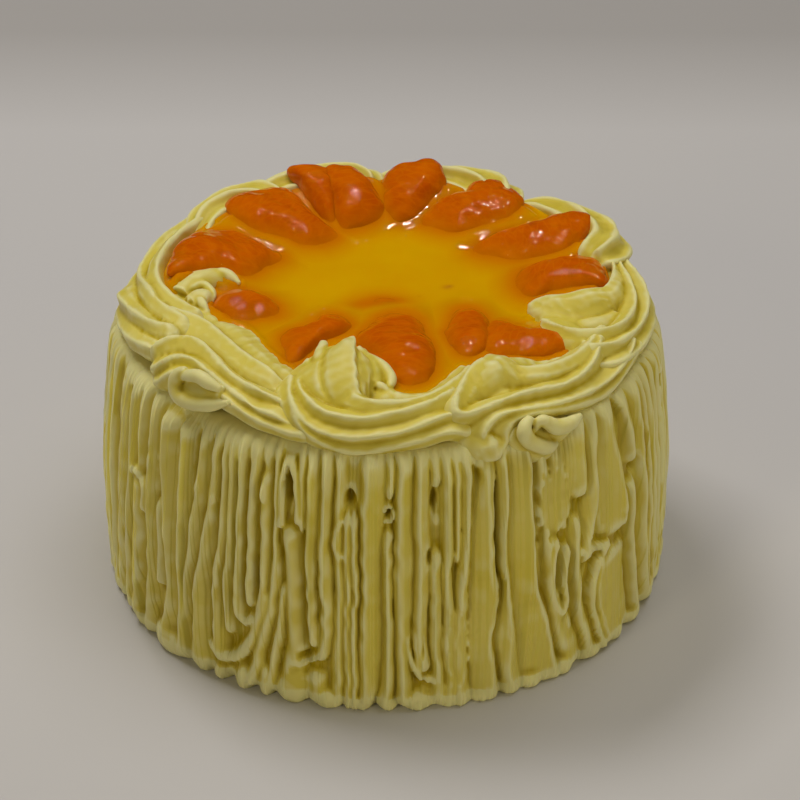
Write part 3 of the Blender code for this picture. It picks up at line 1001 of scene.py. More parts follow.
@dataclass
class Curtain:
    """The cake's side, drawn into folds, with the plain top and underside that close it.

    Attributes:
        columns: How many columns of faces go round the cake.
        rows: How many rows of faces go up it.
        outline: The side's outline over the crests, as distances from the axis and heights.
        ground: How deep the cream lies where no fold covers it.
        depth: The least and greatest height of a fold's crest over its edges.
        depth_share: That height as a share of the fold's width.
        flank: How round the fold's narrow side and its wide side are; 1 is a straight slope.
        fall: How far the narrow and the wide side fall, as shares of the fold's height.
        end_round: The length over which a fold's ends are rounded.
        bead_width: How wide the thin ridge along a crest is.
        strand_height: How high a thin strand's crest stands over its edges, as a share of its half width.
        top_of_folds: Folds that reach up to here go on under the border.
        foot_of_folds: Folds that reach down to here go on to the ground.
        limit: The greatest distance from the axis.
        unroll_radius: The radius at which the side is unrolled.
        front_angles: Where the folds that are seen begin and end.
        focus: How much closer together the columns are there.
        ragged: How uneven a blemish's edge is.
        ripples: The folds' sway and shiver, the ground's swell, the blemishes' grain and the waves over
            all: for each what is added to the seed, how strong it is, and its cells round and up.
        calm_reach: How many columns and rows a smear evens out.
        calm_lift: How far it fills what it evens out.
        sharp: The share of the relief that stays as it is where the rest is softened.
        soft_reach: How many columns and rows the softening takes in.
        crease: How widely creases are looked for, and how deep a full one is, for the hollow values behind
            the cream's painted crease shade and crest highlight.
        shadow_ease: How far shadows keep off faces that just turn from the light.
        seed: Starts the random draws.
    """

    columns: int = 1210
    rows: int = 81
    outline: tuple[Spot, ...] = (
        (93.2, 0.0), (94.3, 1.2), (94.8, 3.4), (95.1, 8.0), (95.3, 16.0), (95.35, 27.0), (95.0, 44.0),
        (94.2, 56.0), (92.9, 68.0), (91.4, 80.0), (90.3, 86.0), (88.9, 89.2), (86.8, 90.9), (83.6, 91.4))
    ground: float = -4.0
    depth: Spot = (1.4, 3.7)
    depth_share: float = 0.66
    flank: Spot = (3.0, 0.95)
    fall: Spot = (1.5, 0.60)
    end_round: float = 3.4
    bead_width: float = 0.55
    strand_height: float = 0.9
    top_of_folds: float = 92.0
    foot_of_folds: float = -1.5
    limit: float = 95.45
    unroll_radius: float = 94.0
    front_angles: Spot = (203.0, 336.0)
    focus: float = 1.5
    ragged: float = 0.30
    ripples: tuple[tuple[int, float, tuple[int, int]], ...] = (
        (2, 0.60, (60, 8)), (3, 0.32, (130, 22)), (4, 0.5, (120, 16)), (6, 1.0, (300, 60)),
        (7, 0.30, (110, 14)))
    calm_reach: tuple[int, int] = (22, 7)
    calm_lift: float = 0.4
    sharp: float = 0.35
    soft_reach: tuple[int, int] = (2, 1)
    crease: tuple[int, float] = (14, 0.55)
    shadow_ease: float = 0.3
    seed: int = 31

    def column_angles(self) -> Array:
        """Space the columns, closer together where the folds are fine.

        Returns:
            Each column's angle.
        """
        fine = np.arange(0.0, 360.0, 0.25)
        middle = sum(self.front_angles) / 2
        half = (self.front_angles[1] - self.front_angles[0]) / 2
        density = 1.0 + self.focus / (1.0 + np.exp((np.abs(fine - middle) - half) / 5.0))
        total = np.concatenate(((0.0,), np.cumsum(density)))
        share = np.arange(self.columns) / self.columns * total[-1]
        return np.interp(share, total, np.append(fine, 360.0))

    def row_places(self) -> tuple[Array, Array, Array]:
        """Space the rows along the side's outline.

        Returns:
            Each row's distance from the axis, height and run from the foot.
        """
        line = smooth_run(self.outline, 8)
        run = np.concatenate(((0.0,), np.cumsum(np.hypot(*np.diff(line, axis=0).T))))
        rows = np.linspace(0.0, run[-1], self.rows + 1)
        return np.interp(rows, run, line[:, 0]), np.interp(rows, run, line[:, 1]), rows

    def guessed_folds(self) -> list[Fold]:
        """Make up folds for the part of the side that isn't seen, in the manner of the front ones.

        Returns:
            The folds.
        """
        draw = np.random.default_rng(self.seed)
        heights = np.array((93.0, 70.0, 45.0, 22.0, 0.0))
        start, end = self.front_angles[1] - 360.0 - 1.0, self.front_angles[0] - 6.0
        folds = []
        left = start + np.array((-2.6, -1.0, 0.2, 1.4, 5.2))
        slant = left - left.mean()
        angle = start
        while angle < end:
            step = draw.choice((1.1, 1.5, 2.1, 2.9, 4.0)) * draw.uniform(0.85, 1.15)
            angle = min(angle + step, end)
            share = (angle - start) / (end - start)
            ease = np.interp(share, (0.0, 0.08, 0.92, 1.0), (1.0, 0.0, 0.0, 0.5)) * slant
            sway = np.cumsum(draw.normal(0.0, 0.30, 5)) * min(1.0, step / 2.0)
            right = np.maximum(angle + ease + sway - sway.mean(), left + 0.7)
            crest = left + (right - left) * (draw.uniform(0.28, 0.62) + draw.normal(0.0, 0.05, 5))
            rows = list(zip(heights, left, crest, right))
            sunk, bead = draw.uniform(0.0, 0.7), max(0.0, draw.uniform(-0.3, 0.35))
            cut = draw.uniform()
            if cut < 0.16:
                rows = rows[:3] + [(34.0, *rows[2][1:])]
                below = tuple((heights[k], left[k] - 0.3, left[k] * 0.6 + right[k] * 0.4, right[k] + 0.3)
                              for k in (2, 3, 4))
                folds.append(Fold(below, 0.9))
            elif cut < 0.28:
                rows = [(61.0, *rows[2][1:])] + rows[2:]
                above = ((93.0, left[0], crest[0], right[0]), (56.0, left[1], crest[1], right[1]))
                folds.append(Fold(above, 1.1))
            folds.append(Fold(tuple(rows), sunk, bead))
            left = right
        return folds

    def guessed_lobes(self) -> tuple[Row, ...]:
        """Make up lobes at the foot of the part that isn't seen.

        Returns:
            Each lobe's left and right angle, its top and how far it is sunk.
        """
        draw = np.random.default_rng(self.seed + 9)
        lobes = []
        left = self.front_angles[1] - 360.0
        while left < self.front_angles[0] - 4.0:
            wide = draw.uniform(3.5, 8.5)
            lobes.append((left, left + wide, draw.uniform(5.0, 13.0), draw.uniform(-0.3, 0.4)))
            left += wide + draw.uniform(0.2, 1.4)
        return tuple(lobes)

    def guessed_blemishes(self) -> list[Blemish]:
        """Make up pits, smears and torn bits for the part that isn't seen.

        Returns:
            The blemishes.
        """
        draw = np.random.default_rng(self.seed + 1)
        kinds = ((Mark.PIT, 1.3, 2.2), (Mark.PIT, 1.3, 2.2), (Mark.LUMP, 1.3, 1.1), (Mark.SMEAR, 4.0, 0.7))
        blemishes = []
        for index in range(36):
            mark, big, strength = kinds[index % len(kinds)]
            angle = draw.uniform(self.front_angles[1] - 360.0, self.front_angles[0])
            blemishes.append(Blemish(mark, angle, draw.uniform(6.0, 84.0), big * draw.uniform(0.6, 1.2),
                                     2.0 * big * draw.uniform(0.7, 1.4), strength))
        return blemishes

    def lay(self, fold: Fold, relief: Array, angles: Array, run: Array) -> None:
        """Lay one fold over the relief, where it stands out over what is there.

        Args:
            fold: The fold to lay.
            relief: The relief so far, rows by columns, changed in place.
            angles: Each column's angle.
            run: Each row's run from the foot.
        """
        line = smooth_run(fold.stations, 6)[::-1]
        top, foot = line[-1, 0], line[0, 0]
        level = np.clip(run, foot, top)
        left, crest, right = (np.interp(level, line[:, 0], line[:, k])[:, None] for k in (1, 2, 3))
        offset = np.mod(angles[None, :] - crest + 180.0, 360.0) - 180.0
        reach = np.where(offset > 0.0, right - crest, crest - left)
        share = np.abs(offset) / np.maximum(reach, 0.15)
        wide = np.radians(right - left) * self.unroll_radius
        depth = np.clip(self.depth_share * wide, *self.depth)
        gentle = np.clip(reach / np.maximum(right - left, 0.3), 0.0, 1.0)
        above = np.clip((run - top + self.end_round) / self.end_round, 0.0, None)[:, None]
        below = np.clip((foot + self.end_round - run) / self.end_round, 0.0, None)[:, None]
        above *= top < self.top_of_folds
        below *= foot >= self.foot_of_folds
        away = np.sqrt(share ** 2 + above ** 2 + below ** 2)
        bend = self.flank[0] + (self.flank[1] - self.flank[0]) * gentle
        drop = depth * (self.fall[0] + (self.fall[1] - self.fall[0]) * gentle) * away ** bend
        bead = fold.bead * np.exp(-(np.radians(offset) * self.unroll_radius / self.bead_width) ** 2)
        height = -fold.sunk - drop + bead * np.clip(1.0 - away, 0.0, 1.0)
        better = (away < 1.0) & (height > relief)
        relief[better] = height[better]

    def loop(self, loop: Loop, relief: Array, around: Array, run: Array) -> None:
        """Lay a thin strand along a free route over the relief.

        Args:
            loop: The strand to lay.
            relief: The relief so far, rows by columns, changed in place.
            around: Each column's place along the unrolled side.
            run: Each row's run from the foot.
        """
        route = np.array(loop.route)
        route[:, 0] = np.radians(route[:, 0]) * self.unroll_radius
        line = smooth_run(route, 8)
        middle = line[:, 0].mean()
        offset = self.offset(around, middle)
        columns = np.nonzero(np.abs(offset) < np.ptp(line[:, 0]) + 2 * loop.half_width)[0]
        across = (offset[columns] + middle)[None, :]
        up = run[:, None]
        away = np.full((len(run), len(columns)), np.inf)
        for (ax, ay), (bx, by) in zip(line[:-1], line[1:]):
            dx, dy = bx - ax, by - ay
            share = np.clip(((across - ax) * dx + (up - ay) * dy) / (dx * dx + dy * dy), 0.0, 1.0)
            gap = np.hypot(across - ax - share * dx, up - ay - share * dy)
            away = np.minimum(away, gap / loop.half_width)
        dome = np.sqrt(np.clip(1.0 - away ** 2, 0.0, 1.0))
        height = -loop.sunk - self.strand_height * loop.half_width * (1.0 - dome)
        old = relief[:, columns]
        relief[:, columns] = np.where((away < 1.0) & (height > old), height, old)

    def offset(self, around: Array, middle: float) -> Array:
        """How far places along the unrolled side are from a middle, the short way round."""
        lap = 2 * math.pi * self.unroll_radius
        return np.mod(around - middle + lap / 2, lap) - lap / 2

    def mar(self, blemish: Blemish, relief: Array, calm: Array, around: Array, run: Array,
            rough: Array) -> None:
        """Press one blemish into the relief.

        Args:
            blemish: The blemish.
            relief: The relief, rows by columns, changed in place.
            calm: The relief evened out, which a smear comes to.
            around: Each column's place along the unrolled side.
            run: Each row's run from the foot.
            rough: Unevenness that makes its edge ragged.
        """
        across = self.offset(around, math.radians(blemish.angle) * self.unroll_radius) / blemish.half_width
        away = np.hypot(across[None, :], (run[:, None] - blemish.height) / blemish.half_height)
        away = away + self.ragged * rough
        if blemish.mark is Mark.SMEAR:
            mask = np.clip((1.08 - away) / 0.16, 0.0, 1.0) * blemish.strength
            relief += mask * (calm - relief)
        elif blemish.mark is Mark.PIT:
            relief -= blemish.strength * np.clip((1.0 - away) / 0.45, 0.0, 1.0)
            relief += 0.35 * np.clip(1.0 - np.abs(away - 1.15) / 0.3, 0.0, 1.0)
        else:
            relief += blemish.strength * np.clip((1.0 - away) / 0.5, 0.0, 1.0) * (0.7 + 0.5 * rough)

    def relief(self) -> Array:
        """Lay all the folds, strands and lobes, and press the blemishes into them.

        Returns:
            How far the cream stands out over the side's outline, rows by columns.
        """
        angles = self.column_angles()
        run = self.row_places()[2]
        turns = (angles / 360.0)[None, :]
        rise = (run / run[-1])[:, None]
        turns, rise = np.broadcast_arrays(turns, rise)
        sway, shiver, swell, grain, waves = (
            share * Ripple(self.seed + step, *cells).at(turns, rise) for step, share, cells in self.ripples)
        relief = self.ground + swell
        around = np.radians(angles) * self.unroll_radius
        for fold in self.guessed_folds() + list(FRONT_FOLDS):
            self.lay(fold, relief, angles, run)
        for loop in FRONT_LOOPS:
            self.loop(loop, relief, around, run)
        for left, right, top, sunk in FRONT_LOBES + self.guessed_lobes():
            middle = 0.5 * (left + right)
            stations = ((top, 0.7 * left + 0.3 * right, middle, 0.3 * left + 0.7 * right),
                        (0.5 * top, left, middle, right), (-2.0, left + 0.3, middle + 0.3, right - 0.3))
            self.lay(Fold(stations, sunk), relief, angles, run)
        relief = self.shifted(relief, sway + shiver)
        calm = self.evened(relief, *self.calm_reach) + self.calm_lift
        for blemish in self.guessed_blemishes() + FRONT_BLEMISHES:
            self.mar(blemish, relief, calm, around, run, grain)
        relief = relief + waves
        return self.sharp * relief + (1.0 - self.sharp) * self.evened(relief, *self.soft_reach)

    def shifted(self, relief: Array, drift: Array) -> Array:
        """Move each place of the relief round the cake.

        Args:
            relief: The relief, rows by columns.
            drift: How far each place moves.

        Returns:
            The moved relief.
        """
        angles = self.column_angles()
        wanted = np.mod(angles[None, :] + np.degrees(drift / self.unroll_radius), 360.0)
        closed = np.concatenate((relief, relief[:, :1]), axis=1)
        angles = np.append(angles, 360.0)
        return np.stack([np.interp(wanted[row], angles, closed[row]) for row in range(len(relief))])

    @staticmethod
    def evened(relief: Array, across: int, up: int) -> Array:
        """Average the relief over some columns and rows to each side.

        Args:
            relief: The relief, rows by columns.
            across: How many columns to each side.
            up: How many rows.

        Returns:
            The evened relief.
        """
        total = sum(np.roll(relief, step, axis=1) for step in range(-across, across + 1))
        even = total / (2 * across + 1)
        padded = np.pad(even, ((up, up), (0, 0)), mode="edge")
        total = sum(padded[up + step:up + step + len(relief)] for step in range(-up, up + 1))
        return total / (2 * up + 1)

    def build(self, looks: Looks) -> None:
        """Build the side and hand it over.

        Args:
            looks: The materials.
        """
        blank = Drum("side_folds", self.columns, self.rows)
        drum = blank.build()
        column, row, hub = blank.grid_places(drum)
        relief = self.relief()
        radii, heights, _ = self.row_places()
        angles = self.column_angles()
        radius = np.minimum(radii[row] + relief[row, column], self.limit)
        radius[hub] = 0.0
        turn = np.radians(angles[column])
        places = np.stack((radius * np.cos(turn), radius * np.sin(turn), heights[row]), axis=1)
        write_points(drum.data, places)
        mark_hollows(drum, *self.crease)
        drum.cycles.shadow_terminator_offset = self.shadow_ease
        hand_over(drum, looks.cream, "cake_body")


# The border: scrolls piped through an open star tip

@dataclass(frozen=True)
class Scroll:
    """One piped scroll of the border.

    Attributes:
        node: The solid that it stands for.
        route: Its centre line as angles and distances from the axis.
        lift: How far its head stands up over its run.
        thickness: Its thickness as a share of the usual.
        twist: How far the tip's ridges turn along it.
    """

    node: str
    route: tuple[Spot, ...]
    lift: float
    thickness: float
    twist: float


SCROLLS = (
    Scroll("border_scroll_05", ((10, 68), (14, 72), (22, 77.5), (33, 78), (44, 76), (54, 71)), 0.5, 0.98, 80),
    Scroll("border_scroll_06", ((52, 67), (57, 72), (64, 77.5), (75, 78), (87, 75.5), (96, 71)), 1, 0.98, 80),
    Scroll("border_scroll_07", ((92, 67), (97, 72), (104, 77.5), (114, 78), (123, 75), (131, 70)), 1.5, 0.98,
        80),
    Scroll("border_scroll_08", ((120, 67), (124, 72), (129, 77.5), (137, 77.5), (144, 75), (151, 70)), 1,
        0.94, 80),
)


@dataclass(frozen=True)
class Wisp:
    """A small strand of cream: its centre line and half widths."""

    places: tuple[Array, ...]
    widths: tuple[float, ...]


@dataclass(frozen=True)
class TracedScroll:
    """A scroll that is seen close up, given by the ridges that the tip left along it.

    Attributes:
        node: The solid that it stands for.
        start: The angle at which it begins.
        end: The angle at which it ends.
        depths: How deep the cream falls off beside each ridge.
        ridges: From its inner side out, the points along each ridge.
        wisps: Small hooks that lie on it.
        floor: How high the roll stays between ridges that stand far apart.
    """

    node: str
    start: float
    end: float
    depths: tuple[float, ...]
    ridges: tuple[tuple[Array, ...], ...]
    wisps: tuple[Wisp, ...] = ()
    floor: float = -4.0


@dataclass(frozen=True)
class Hook:
    """Strands of cream that curl together over the side's top edge."""

    node: str
    wisps: tuple[Wisp, ...]


TRACED_SCROLLS = (
    TracedScroll("border_scroll_09", 122, 212, (2, 2.2, 2.6, 3, 2.6), (
        (seen(236, 207, 99.5), seen(214, 222, 99.5), seen(191, 238, 99.5), seen(176, 252, 99.5),
         seen(168, 268, 99.5), seen(170, 282, 99.5), seen(178, 293, 99.5), seen(190, 302, 99.5),
         seen(204, 311, 99)),
        (crown(233, 196), crown(208, 209), crown(183, 227), crown(164, 246), crown(157, 264), crown(160, 279),
         crown(170, 291), crown(184, 300), crown(200, 309)),
        (polar(128, 86, 99), polar(140, 85.5, 99.5), polar(153, 85, 99.5), polar(163, 84, 99),
         polar(172, 82.5, 99.5), crown(146, 283), crown(157, 297), crown(171, 307), crown(186, 315)),
        (polar(128, 86.5, 95), polar(141, 86.5, 95), polar(155, 86, 94.5), polar(168, 85.6, 94.8),
         polar(176, 86.2, 96.2), polar(181, 87.4, 98.2), crown(126, 305.5), crown(140, 315),
         crown(155, 320.5), crown(169, 322.5)),
        (polar(128, 86, 90), polar(142, 86.8, 89.5), polar(158, 87.2, 89), polar(172, 87.5, 89.5),
         polar(183, 88, 92), crown(122, 333), crown(135, 341.5), crown(149, 346.5), crown(160, 347)),
    )),
    TracedScroll("border_scroll_01", 176, 259, (2, 2.8, 3.2, 3.2, 2.6), (
        (seen(187, 300, 99.8), seen(203, 309, 99.5), seen(217, 312.5, 99), seen(229, 322, 99),
         seen(241, 325, 99), seen(252, 331, 99), seen(262, 343, 99), seen(272, 353.5, 99),
         seen(282, 361.5, 99), seen(292, 369, 99), seen(302, 376, 98)),
        (crown(172, 305), crown(190, 311.5), crown(205, 318), crown(218, 328), crown(231, 339.5),
         crown(244, 350), crown(258, 360), crown(273, 368, dip=0.6), crown(288, 373.5, dip=3.8),
         crown(303, 377, dip=7.6)),
        (crown(151, 346), crown(163, 338), crown(178, 334), crown(193, 335.5), crown(206, 344),
         crown(217, 357), crown(229, 370), crown(243, 381), crown(258, 388.5), crown(275, 393.5, dip=1.3),
         crown(290, 396, dip=4.1), crown(304, 395, dip=8)),
        (crown(150, 368), crown(162, 360), crown(178, 354.5), crown(192, 357.5), crown(204, 367.5),
         crown(216, 378), crown(229, 389), crown(242, 399), crown(256, 408.5), crown(272, 415),
         polar(250.2, 85.3, 97.4), polar(252.9, 84.6, 95.5)),
        (crown(153, 384), crown(166, 374), crown(181, 371), crown(195, 377), crown(209, 387),
         crown(223, 397.5), crown(237, 408.5), crown(252, 418.5), crown(269, 427), crown(287, 433),
         crown(301, 436)),
    ), (
        Wisp((seen(204, 280, 101.4), seen(214, 275, 102), seen(223, 274, 102.2), seen(232, 278, 101.6),
         seen(240, 284, 100.8)), (1.1, 1.8, 2.1, 1.8, 0.8)),
        Wisp((seen(184, 294, 101.2), seen(192, 288, 102), seen(203, 285.5, 102.2), seen(211, 291, 101.6),
         seen(214, 299, 100.6)), (0.9, 1.4, 1.6, 1.4, 0.8)),
        Wisp((seen(187, 300.5, 101.6), seen(196, 299.5, 101.9), seen(203, 304.5, 101.7),
         seen(207, 311, 100.6)), (0.8, 1.2, 1.3, 0.7)),
        Wisp((seen(180, 298, 99.2), seen(190, 290, 99.6), seen(205, 284, 99.8), seen(222, 281, 99.2),
         seen(235, 285, 98)), (4, 4.8, 4.8, 4, 2)),
        Wisp((seen(190, 307, 99.2), seen(203, 302, 99.4), seen(213, 304, 98.6)), (3.8, 4.4, 2.6)),
    )),
    TracedScroll("border_scroll_02", 240, 300, (2, 2.4, 3, 3.2, 2.6), (
        (seen(354.5, 336, 109.5), seen(357, 349, 106.5), seen(358, 359, 103.5), seen(367, 362, 101.5),
         seen(380, 368, 100), seen(391, 376, 99.2), seen(392, 388, 99.2), seen(401, 393, 99),
         seen(415, 393.5, 99), seen(431, 389.5, 99), seen(446, 378, 99), seen(459, 366, 99),
         seen(470, 358, 99)),
        (seen(347, 339, 109), seen(341, 352, 106), crown(338, 368), crown(343, 384), crown(354, 394),
         crown(372, 399), crown(392, 400.5), crown(414, 397.5), crown(436, 389.5), crown(454, 377.5),
         crown(469, 363)),
        (seen(307, 356, 105.5), crown(300, 368), crown(299, 382), crown(306, 395), crown(320, 408),
         crown(340, 415), crown(362, 417.5), crown(385, 413.5), crown(410, 407.5), crown(432, 399),
         crown(450, 388, dip=0.3), crown(466, 373, dip=2.8)),
        (crown(291, 374), crown(289.5, 392), crown(295, 410), crown(307, 425), crown(325, 434),
         crown(348, 438.5), crown(372, 437), crown(397, 433), crown(420, 425.5), crown(440, 416.5),
         polar(284.2, 82.2, 101.2), polar(286.9, 79.5, 99.5)),
        (crown(291, 398), crown(296, 420), crown(307, 435), crown(322, 445), crown(340, 452),
         crown(358, 454.5), crown(378, 452), crown(400, 447), crown(425, 440), crown(445, 432.5, dip=0.4),
         polar(284, 86.3, 96.6), polar(286.2, 85.6, 95)),
    ), (
        Wisp((seen(357, 348, 104.8), seen(365, 358, 102.8), seen(376, 365, 102), seen(386, 372, 101.4),
         seen(391, 381, 100.6), seen(387, 390, 99.8)), (1.4, 2.3, 2.4, 2.2, 1.9, 1)),
        Wisp((seen(359, 352, 103), seen(363, 364, 101), seen(368, 378, 99.6), seen(372, 390, 99)), (2.6, 4.4,
         5, 3.6)),
        Wisp((seen(366, 374, 98.6), seen(376, 382, 98.2), seen(385, 388, 98.2)), (3.6, 4.6, 3)),
        Wisp((seen(374, 384, 100.9), seen(381, 386.5, 100.9), seen(387, 391, 100.3)), (0.9, 1.5, 1)),
        Wisp((polar(247.2, 58.8, 103.2), polar(251.6, 55.4, 104.4), polar(256.6, 52, 105.8)), (1.6, 2.8,
         2.2)),
        Wisp((seen(324, 343, 106.3), seen(321, 358, 105), seen(324, 375, 103.8), seen(334, 389, 103),
         seen(348, 399, 102.4)), (1.2, 2.6, 2.6, 2.2, 1)),
    )),
    TracedScroll("border_scroll_03", 279, 343, (1.8, 2, 3.6, 3.6, 2.4), (
        (seen(487, 353.5, 106), seen(493, 356.5, 103.5), seen(500, 359.5, 101.5), seen(515, 359, 100),
         seen(535, 361.5, 99), seen(554, 359, 99), seen(567, 353, 99), seen(577, 343, 99), seen(588, 335, 99),
         seen(597, 326, 99)),
        (seen(485, 356, 106.5), crown(487, 363.5), crown(499, 365), crown(514, 364.5), crown(531, 365.5),
         crown(549, 363.5), crown(565, 358), crown(578, 350.5), crown(589, 341), crown(596, 331)),
        (seen(481, 356.5, 107), seen(469, 367, 105.5), seen(461, 382, 105), seen(456, 398, 104),
         seen(457.5, 411, 102), crown(470, 412.5), crown(489, 405), crown(507, 397.5), crown(525, 391.5),
         crown(545, 387.5), crown(565, 383.5), crown(582, 374), crown(594, 361), crown(600, 346),
         crown(601, 334)),
        (crown(478, 455), crown(482, 446), crown(486, 433), crown(494, 420.5), crown(506, 413),
         crown(523, 409.5), crown(543, 406.5), crown(563, 402.5), crown(583, 395.5), crown(601, 387),
         crown(616, 375.5), crown(627, 362), crown(634, 349), crown(637, 338)),
        (seen(490, 462, 87), seen(500, 458, 88), crown(506, 443), crown(510, 429), crown(519, 419.5),
         crown(533, 414), crown(553, 411), crown(580, 406), crown(601, 399), crown(618, 386), crown(631, 367),
         crown(640, 350), crown(645, 338)),
    )),
    TracedScroll("border_scroll_04", 318, 384, (3.6, 0.8, 4.2, 3.2, 2.6), (
        (seen(528, 303.5, 100.3), seen(545, 295.5, 102.3), seen(567, 292.5, 103.8), seen(590, 287, 105),
         seen(604, 285, 105), seen(611, 276, 104.6), seen(613, 262, 103.8), seen(611, 248, 102.5)),
        (seen(537, 310, 99, dip=3.6), seen(555, 309, 99.2, dip=2.4), seen(578, 307, 99.4, dip=1),
         seen(600, 303, 99.6, dip=0.8), seen(614, 292, 100, dip=0.8), seen(620, 278, 100.4),
         seen(621, 262, 100.8)),
        (seen(541, 317.5, 101.3), seen(558, 323.5, 103.4), seen(582, 328, 105.4), seen(607, 326, 105.4),
         seen(627, 318, 104.6), crown(636.5, 303), crown(635, 288), crown(628, 273), polar(9.8, 78, 103)),
        (seen(574, 335, 99.5), crown(588, 341.5), crown(604, 342.5), crown(622, 339), crown(638, 328.5),
         crown(648, 313), polar(357, 85, 100), polar(5, 83.5, 101), polar(13, 81, 102)),
        (polar(322.5, 79, 99.5), polar(325.5, 84, 99), polar(329.6, 86, 98), polar(336.6, 87, 97),
         polar(345.7, 87.5, 96), polar(355, 87.6, 95), polar(4, 86.8, 94), polar(13, 84.5, 95)),
    ), (
        Wisp((polar(341.5, 60, 93.6), polar(340.4, 65, 95.2), polar(342.2, 70.5, 96.2),
         polar(348, 75, 97)), (2.6, 4.2, 4.4, 3)),
        Wisp((polar(5, 74, 96.6), polar(11.5, 76, 97.2), polar(18, 78, 97.2)), (3, 4, 3)),
    ), -7),
)

HOOKS = (
    Hook("border_curl_1", (
        Wisp((outer(186, 370, 85.4), outer(178, 375, 86.2), outer(175, 385, 86.9), outer(179, 395, 87.2),
         outer(188, 401, 87.4), outer(200, 404, 87.4), outer(214, 404.5, 87), outer(229, 402.5, 86.2)), (1.3,
         2.1, 2.4, 2.5, 2.6, 2.5, 2, 0.9)),
        Wisp((outer(181, 376, 85.4), outer(190, 375.5, 86.2), outer(199, 377, 86.4), outer(209, 383, 86.2),
         outer(221, 390, 85.6)), (1.3, 2, 2.2, 2.1, 1.1)),
        Wisp((outer(184, 392, 83.6), outer(196, 394, 83.2), outer(210, 394, 83.2), outer(224, 397, 83.4)),
         (3.4, 4.6, 4.8, 3.2)),
        Wisp((outer(196, 384, 82.6), outer(208, 388, 82.6), outer(220, 393, 83)), (2.6, 3.4, 2.4)),
    )),
    Hook("border_curl_2", (
        Wisp((outer(531, 417, 87.4), outer(524.5, 428, 88.8), outer(527, 438, 89.6), outer(537, 445, 90.1),
         outer(549, 447, 90.1), outer(557, 443, 89.5)), (1.3, 2.2, 2.5, 2.5, 2.1, 0.9)),
        Wisp((outer(534, 430, 88.2), outer(541, 421, 89), outer(548, 423, 89.6), outer(557, 427, 90.3),
         outer(567, 425, 90.4), outer(575, 420, 90), outer(581, 415, 89.3)), (1.1, 1.8, 2.2, 2.5, 2.4, 1.8,
         0.9)),
        Wisp((outer(505, 430, 83.6), outer(520, 438, 84.2), outer(538, 443, 84.6), outer(556, 440, 84.6)),
         (3.6, 5.6, 5.8, 3)),
        Wisp((outer(538, 428, 84.2), outer(556, 428, 85.2), outer(574, 421, 86)), (4, 4.4, 1.8)),
    )),
)


@dataclass
class StarTip:
    """The open star tip, as the closed outline that the cream takes from it.

    Attributes:
        lobes: How many ridges it leaves.
        flute: How deep the flutes between them are, as a share of the radius.
        crest: Above 1 the ridges are narrow and the flutes wide.
        steps: How many points each ridge has.
    """

    lobes: int = 8
    flute: float = 0.21
    crest: float = 1.7
    steps: int = 16

    def build(self) -> Piece:
        """Bend a circle into the outline.

        Returns:
            A curve of unit radius.
        """
        star = fresh(bpy.ops.mesh.primitive_circle_add, "star_tip",
                     vertices=self.lobes * self.steps, radius=1)
        for vertex in star.data.vertices:
            turn = math.atan2(vertex.co.y, vertex.co.x)
            ridge = 0.5 + 0.5 * math.cos(self.lobes * turn)
            vertex.co *= 1.0 - self.flute * (1.0 - ridge ** self.crest)
        make_active(star)
        bpy.ops.object.convert(target="CURVE")
        return bpy.context.object


@dataclass
class Piping:
    """Pipes cream along a route and fuses it into one skin.

    Attributes:
        voxel: The grain of the fused skin.
        easing: How many times the skin is relaxed.
        steps: How many sections each stretch of a route has.
    """

    voxel: float = 0.42
    easing: int = 2
    steps: int = 14

    def sweep(self, name: str, places: Sequence[Array], widths: Sequence[float], tilts: Sequence[float],
              star: Piece) -> Piece:
        """Draw the star's outline along a smooth route.

        Args:
            name: The piece's name.
            places: The route's points.
            widths: The half width at each point.
            tilts: The turn of the ridges at each point.
            star: The tip's outline.

        Returns:
            A closed mesh object.
        """
        run = fresh(bpy.ops.curve.primitive_bezier_curve_add, name, radius=1.0)
        curve = run.data
        curve.name = name
        curve.dimensions = "3D"
        curve.twist_mode = "Z_UP"
        curve.resolution_u = self.steps
        curve.bevel_mode = "OBJECT"
        curve.bevel_object = star
        curve.use_fill_caps = True
        spline = curve.splines[0]
        spline.tilt_interpolation = spline.radius_interpolation = "CARDINAL"
        spline.bezier_points.add(len(places) - 2)
        for point, place, width, tilt in zip(spline.bezier_points, places, widths, tilts):
            point.co = place * MM
            point.radius = width * MM
            point.tilt = math.radians(tilt)
            point.handle_left_type = point.handle_right_type = "AUTO"
        make_active(run)
        bpy.ops.object.convert(target="MESH")
        piece = bpy.context.object
        with editing(piece):
            bpy.ops.mesh.select_all(action="SELECT")
            bpy.ops.mesh.remove_doubles(threshold=0.01 * MM)
        face_outward(piece)
        settle(piece)
        return piece

    def fuse(self, parts: Sequence[Piece]) -> Piece:
        """Join overlapping closed parts into one skin with soft creases.

        Args:
            parts: The parts, the first of which gives the name.

        Returns:
            The fused piece.
        """
        make_active(parts[0])
        for part in parts[1:]:
            part.select_set(True)
        if len(parts) > 1:
            bpy.ops.object.join()
        piece = bpy.context.object
        remesh = piece.modifiers.new("fuse", "REMESH")
        remesh.mode = "VOXEL"
        remesh.voxel_size = self.voxel * MM
        smooth = piece.modifiers.new("ease", "SMOOTH")
        smooth.factor = 0.5
        smooth.iterations = self.easing
        make_active(piece)
        for modifier in list(piece.modifiers):
            bpy.ops.object.modifier_apply(modifier=modifier.name)
        return piece


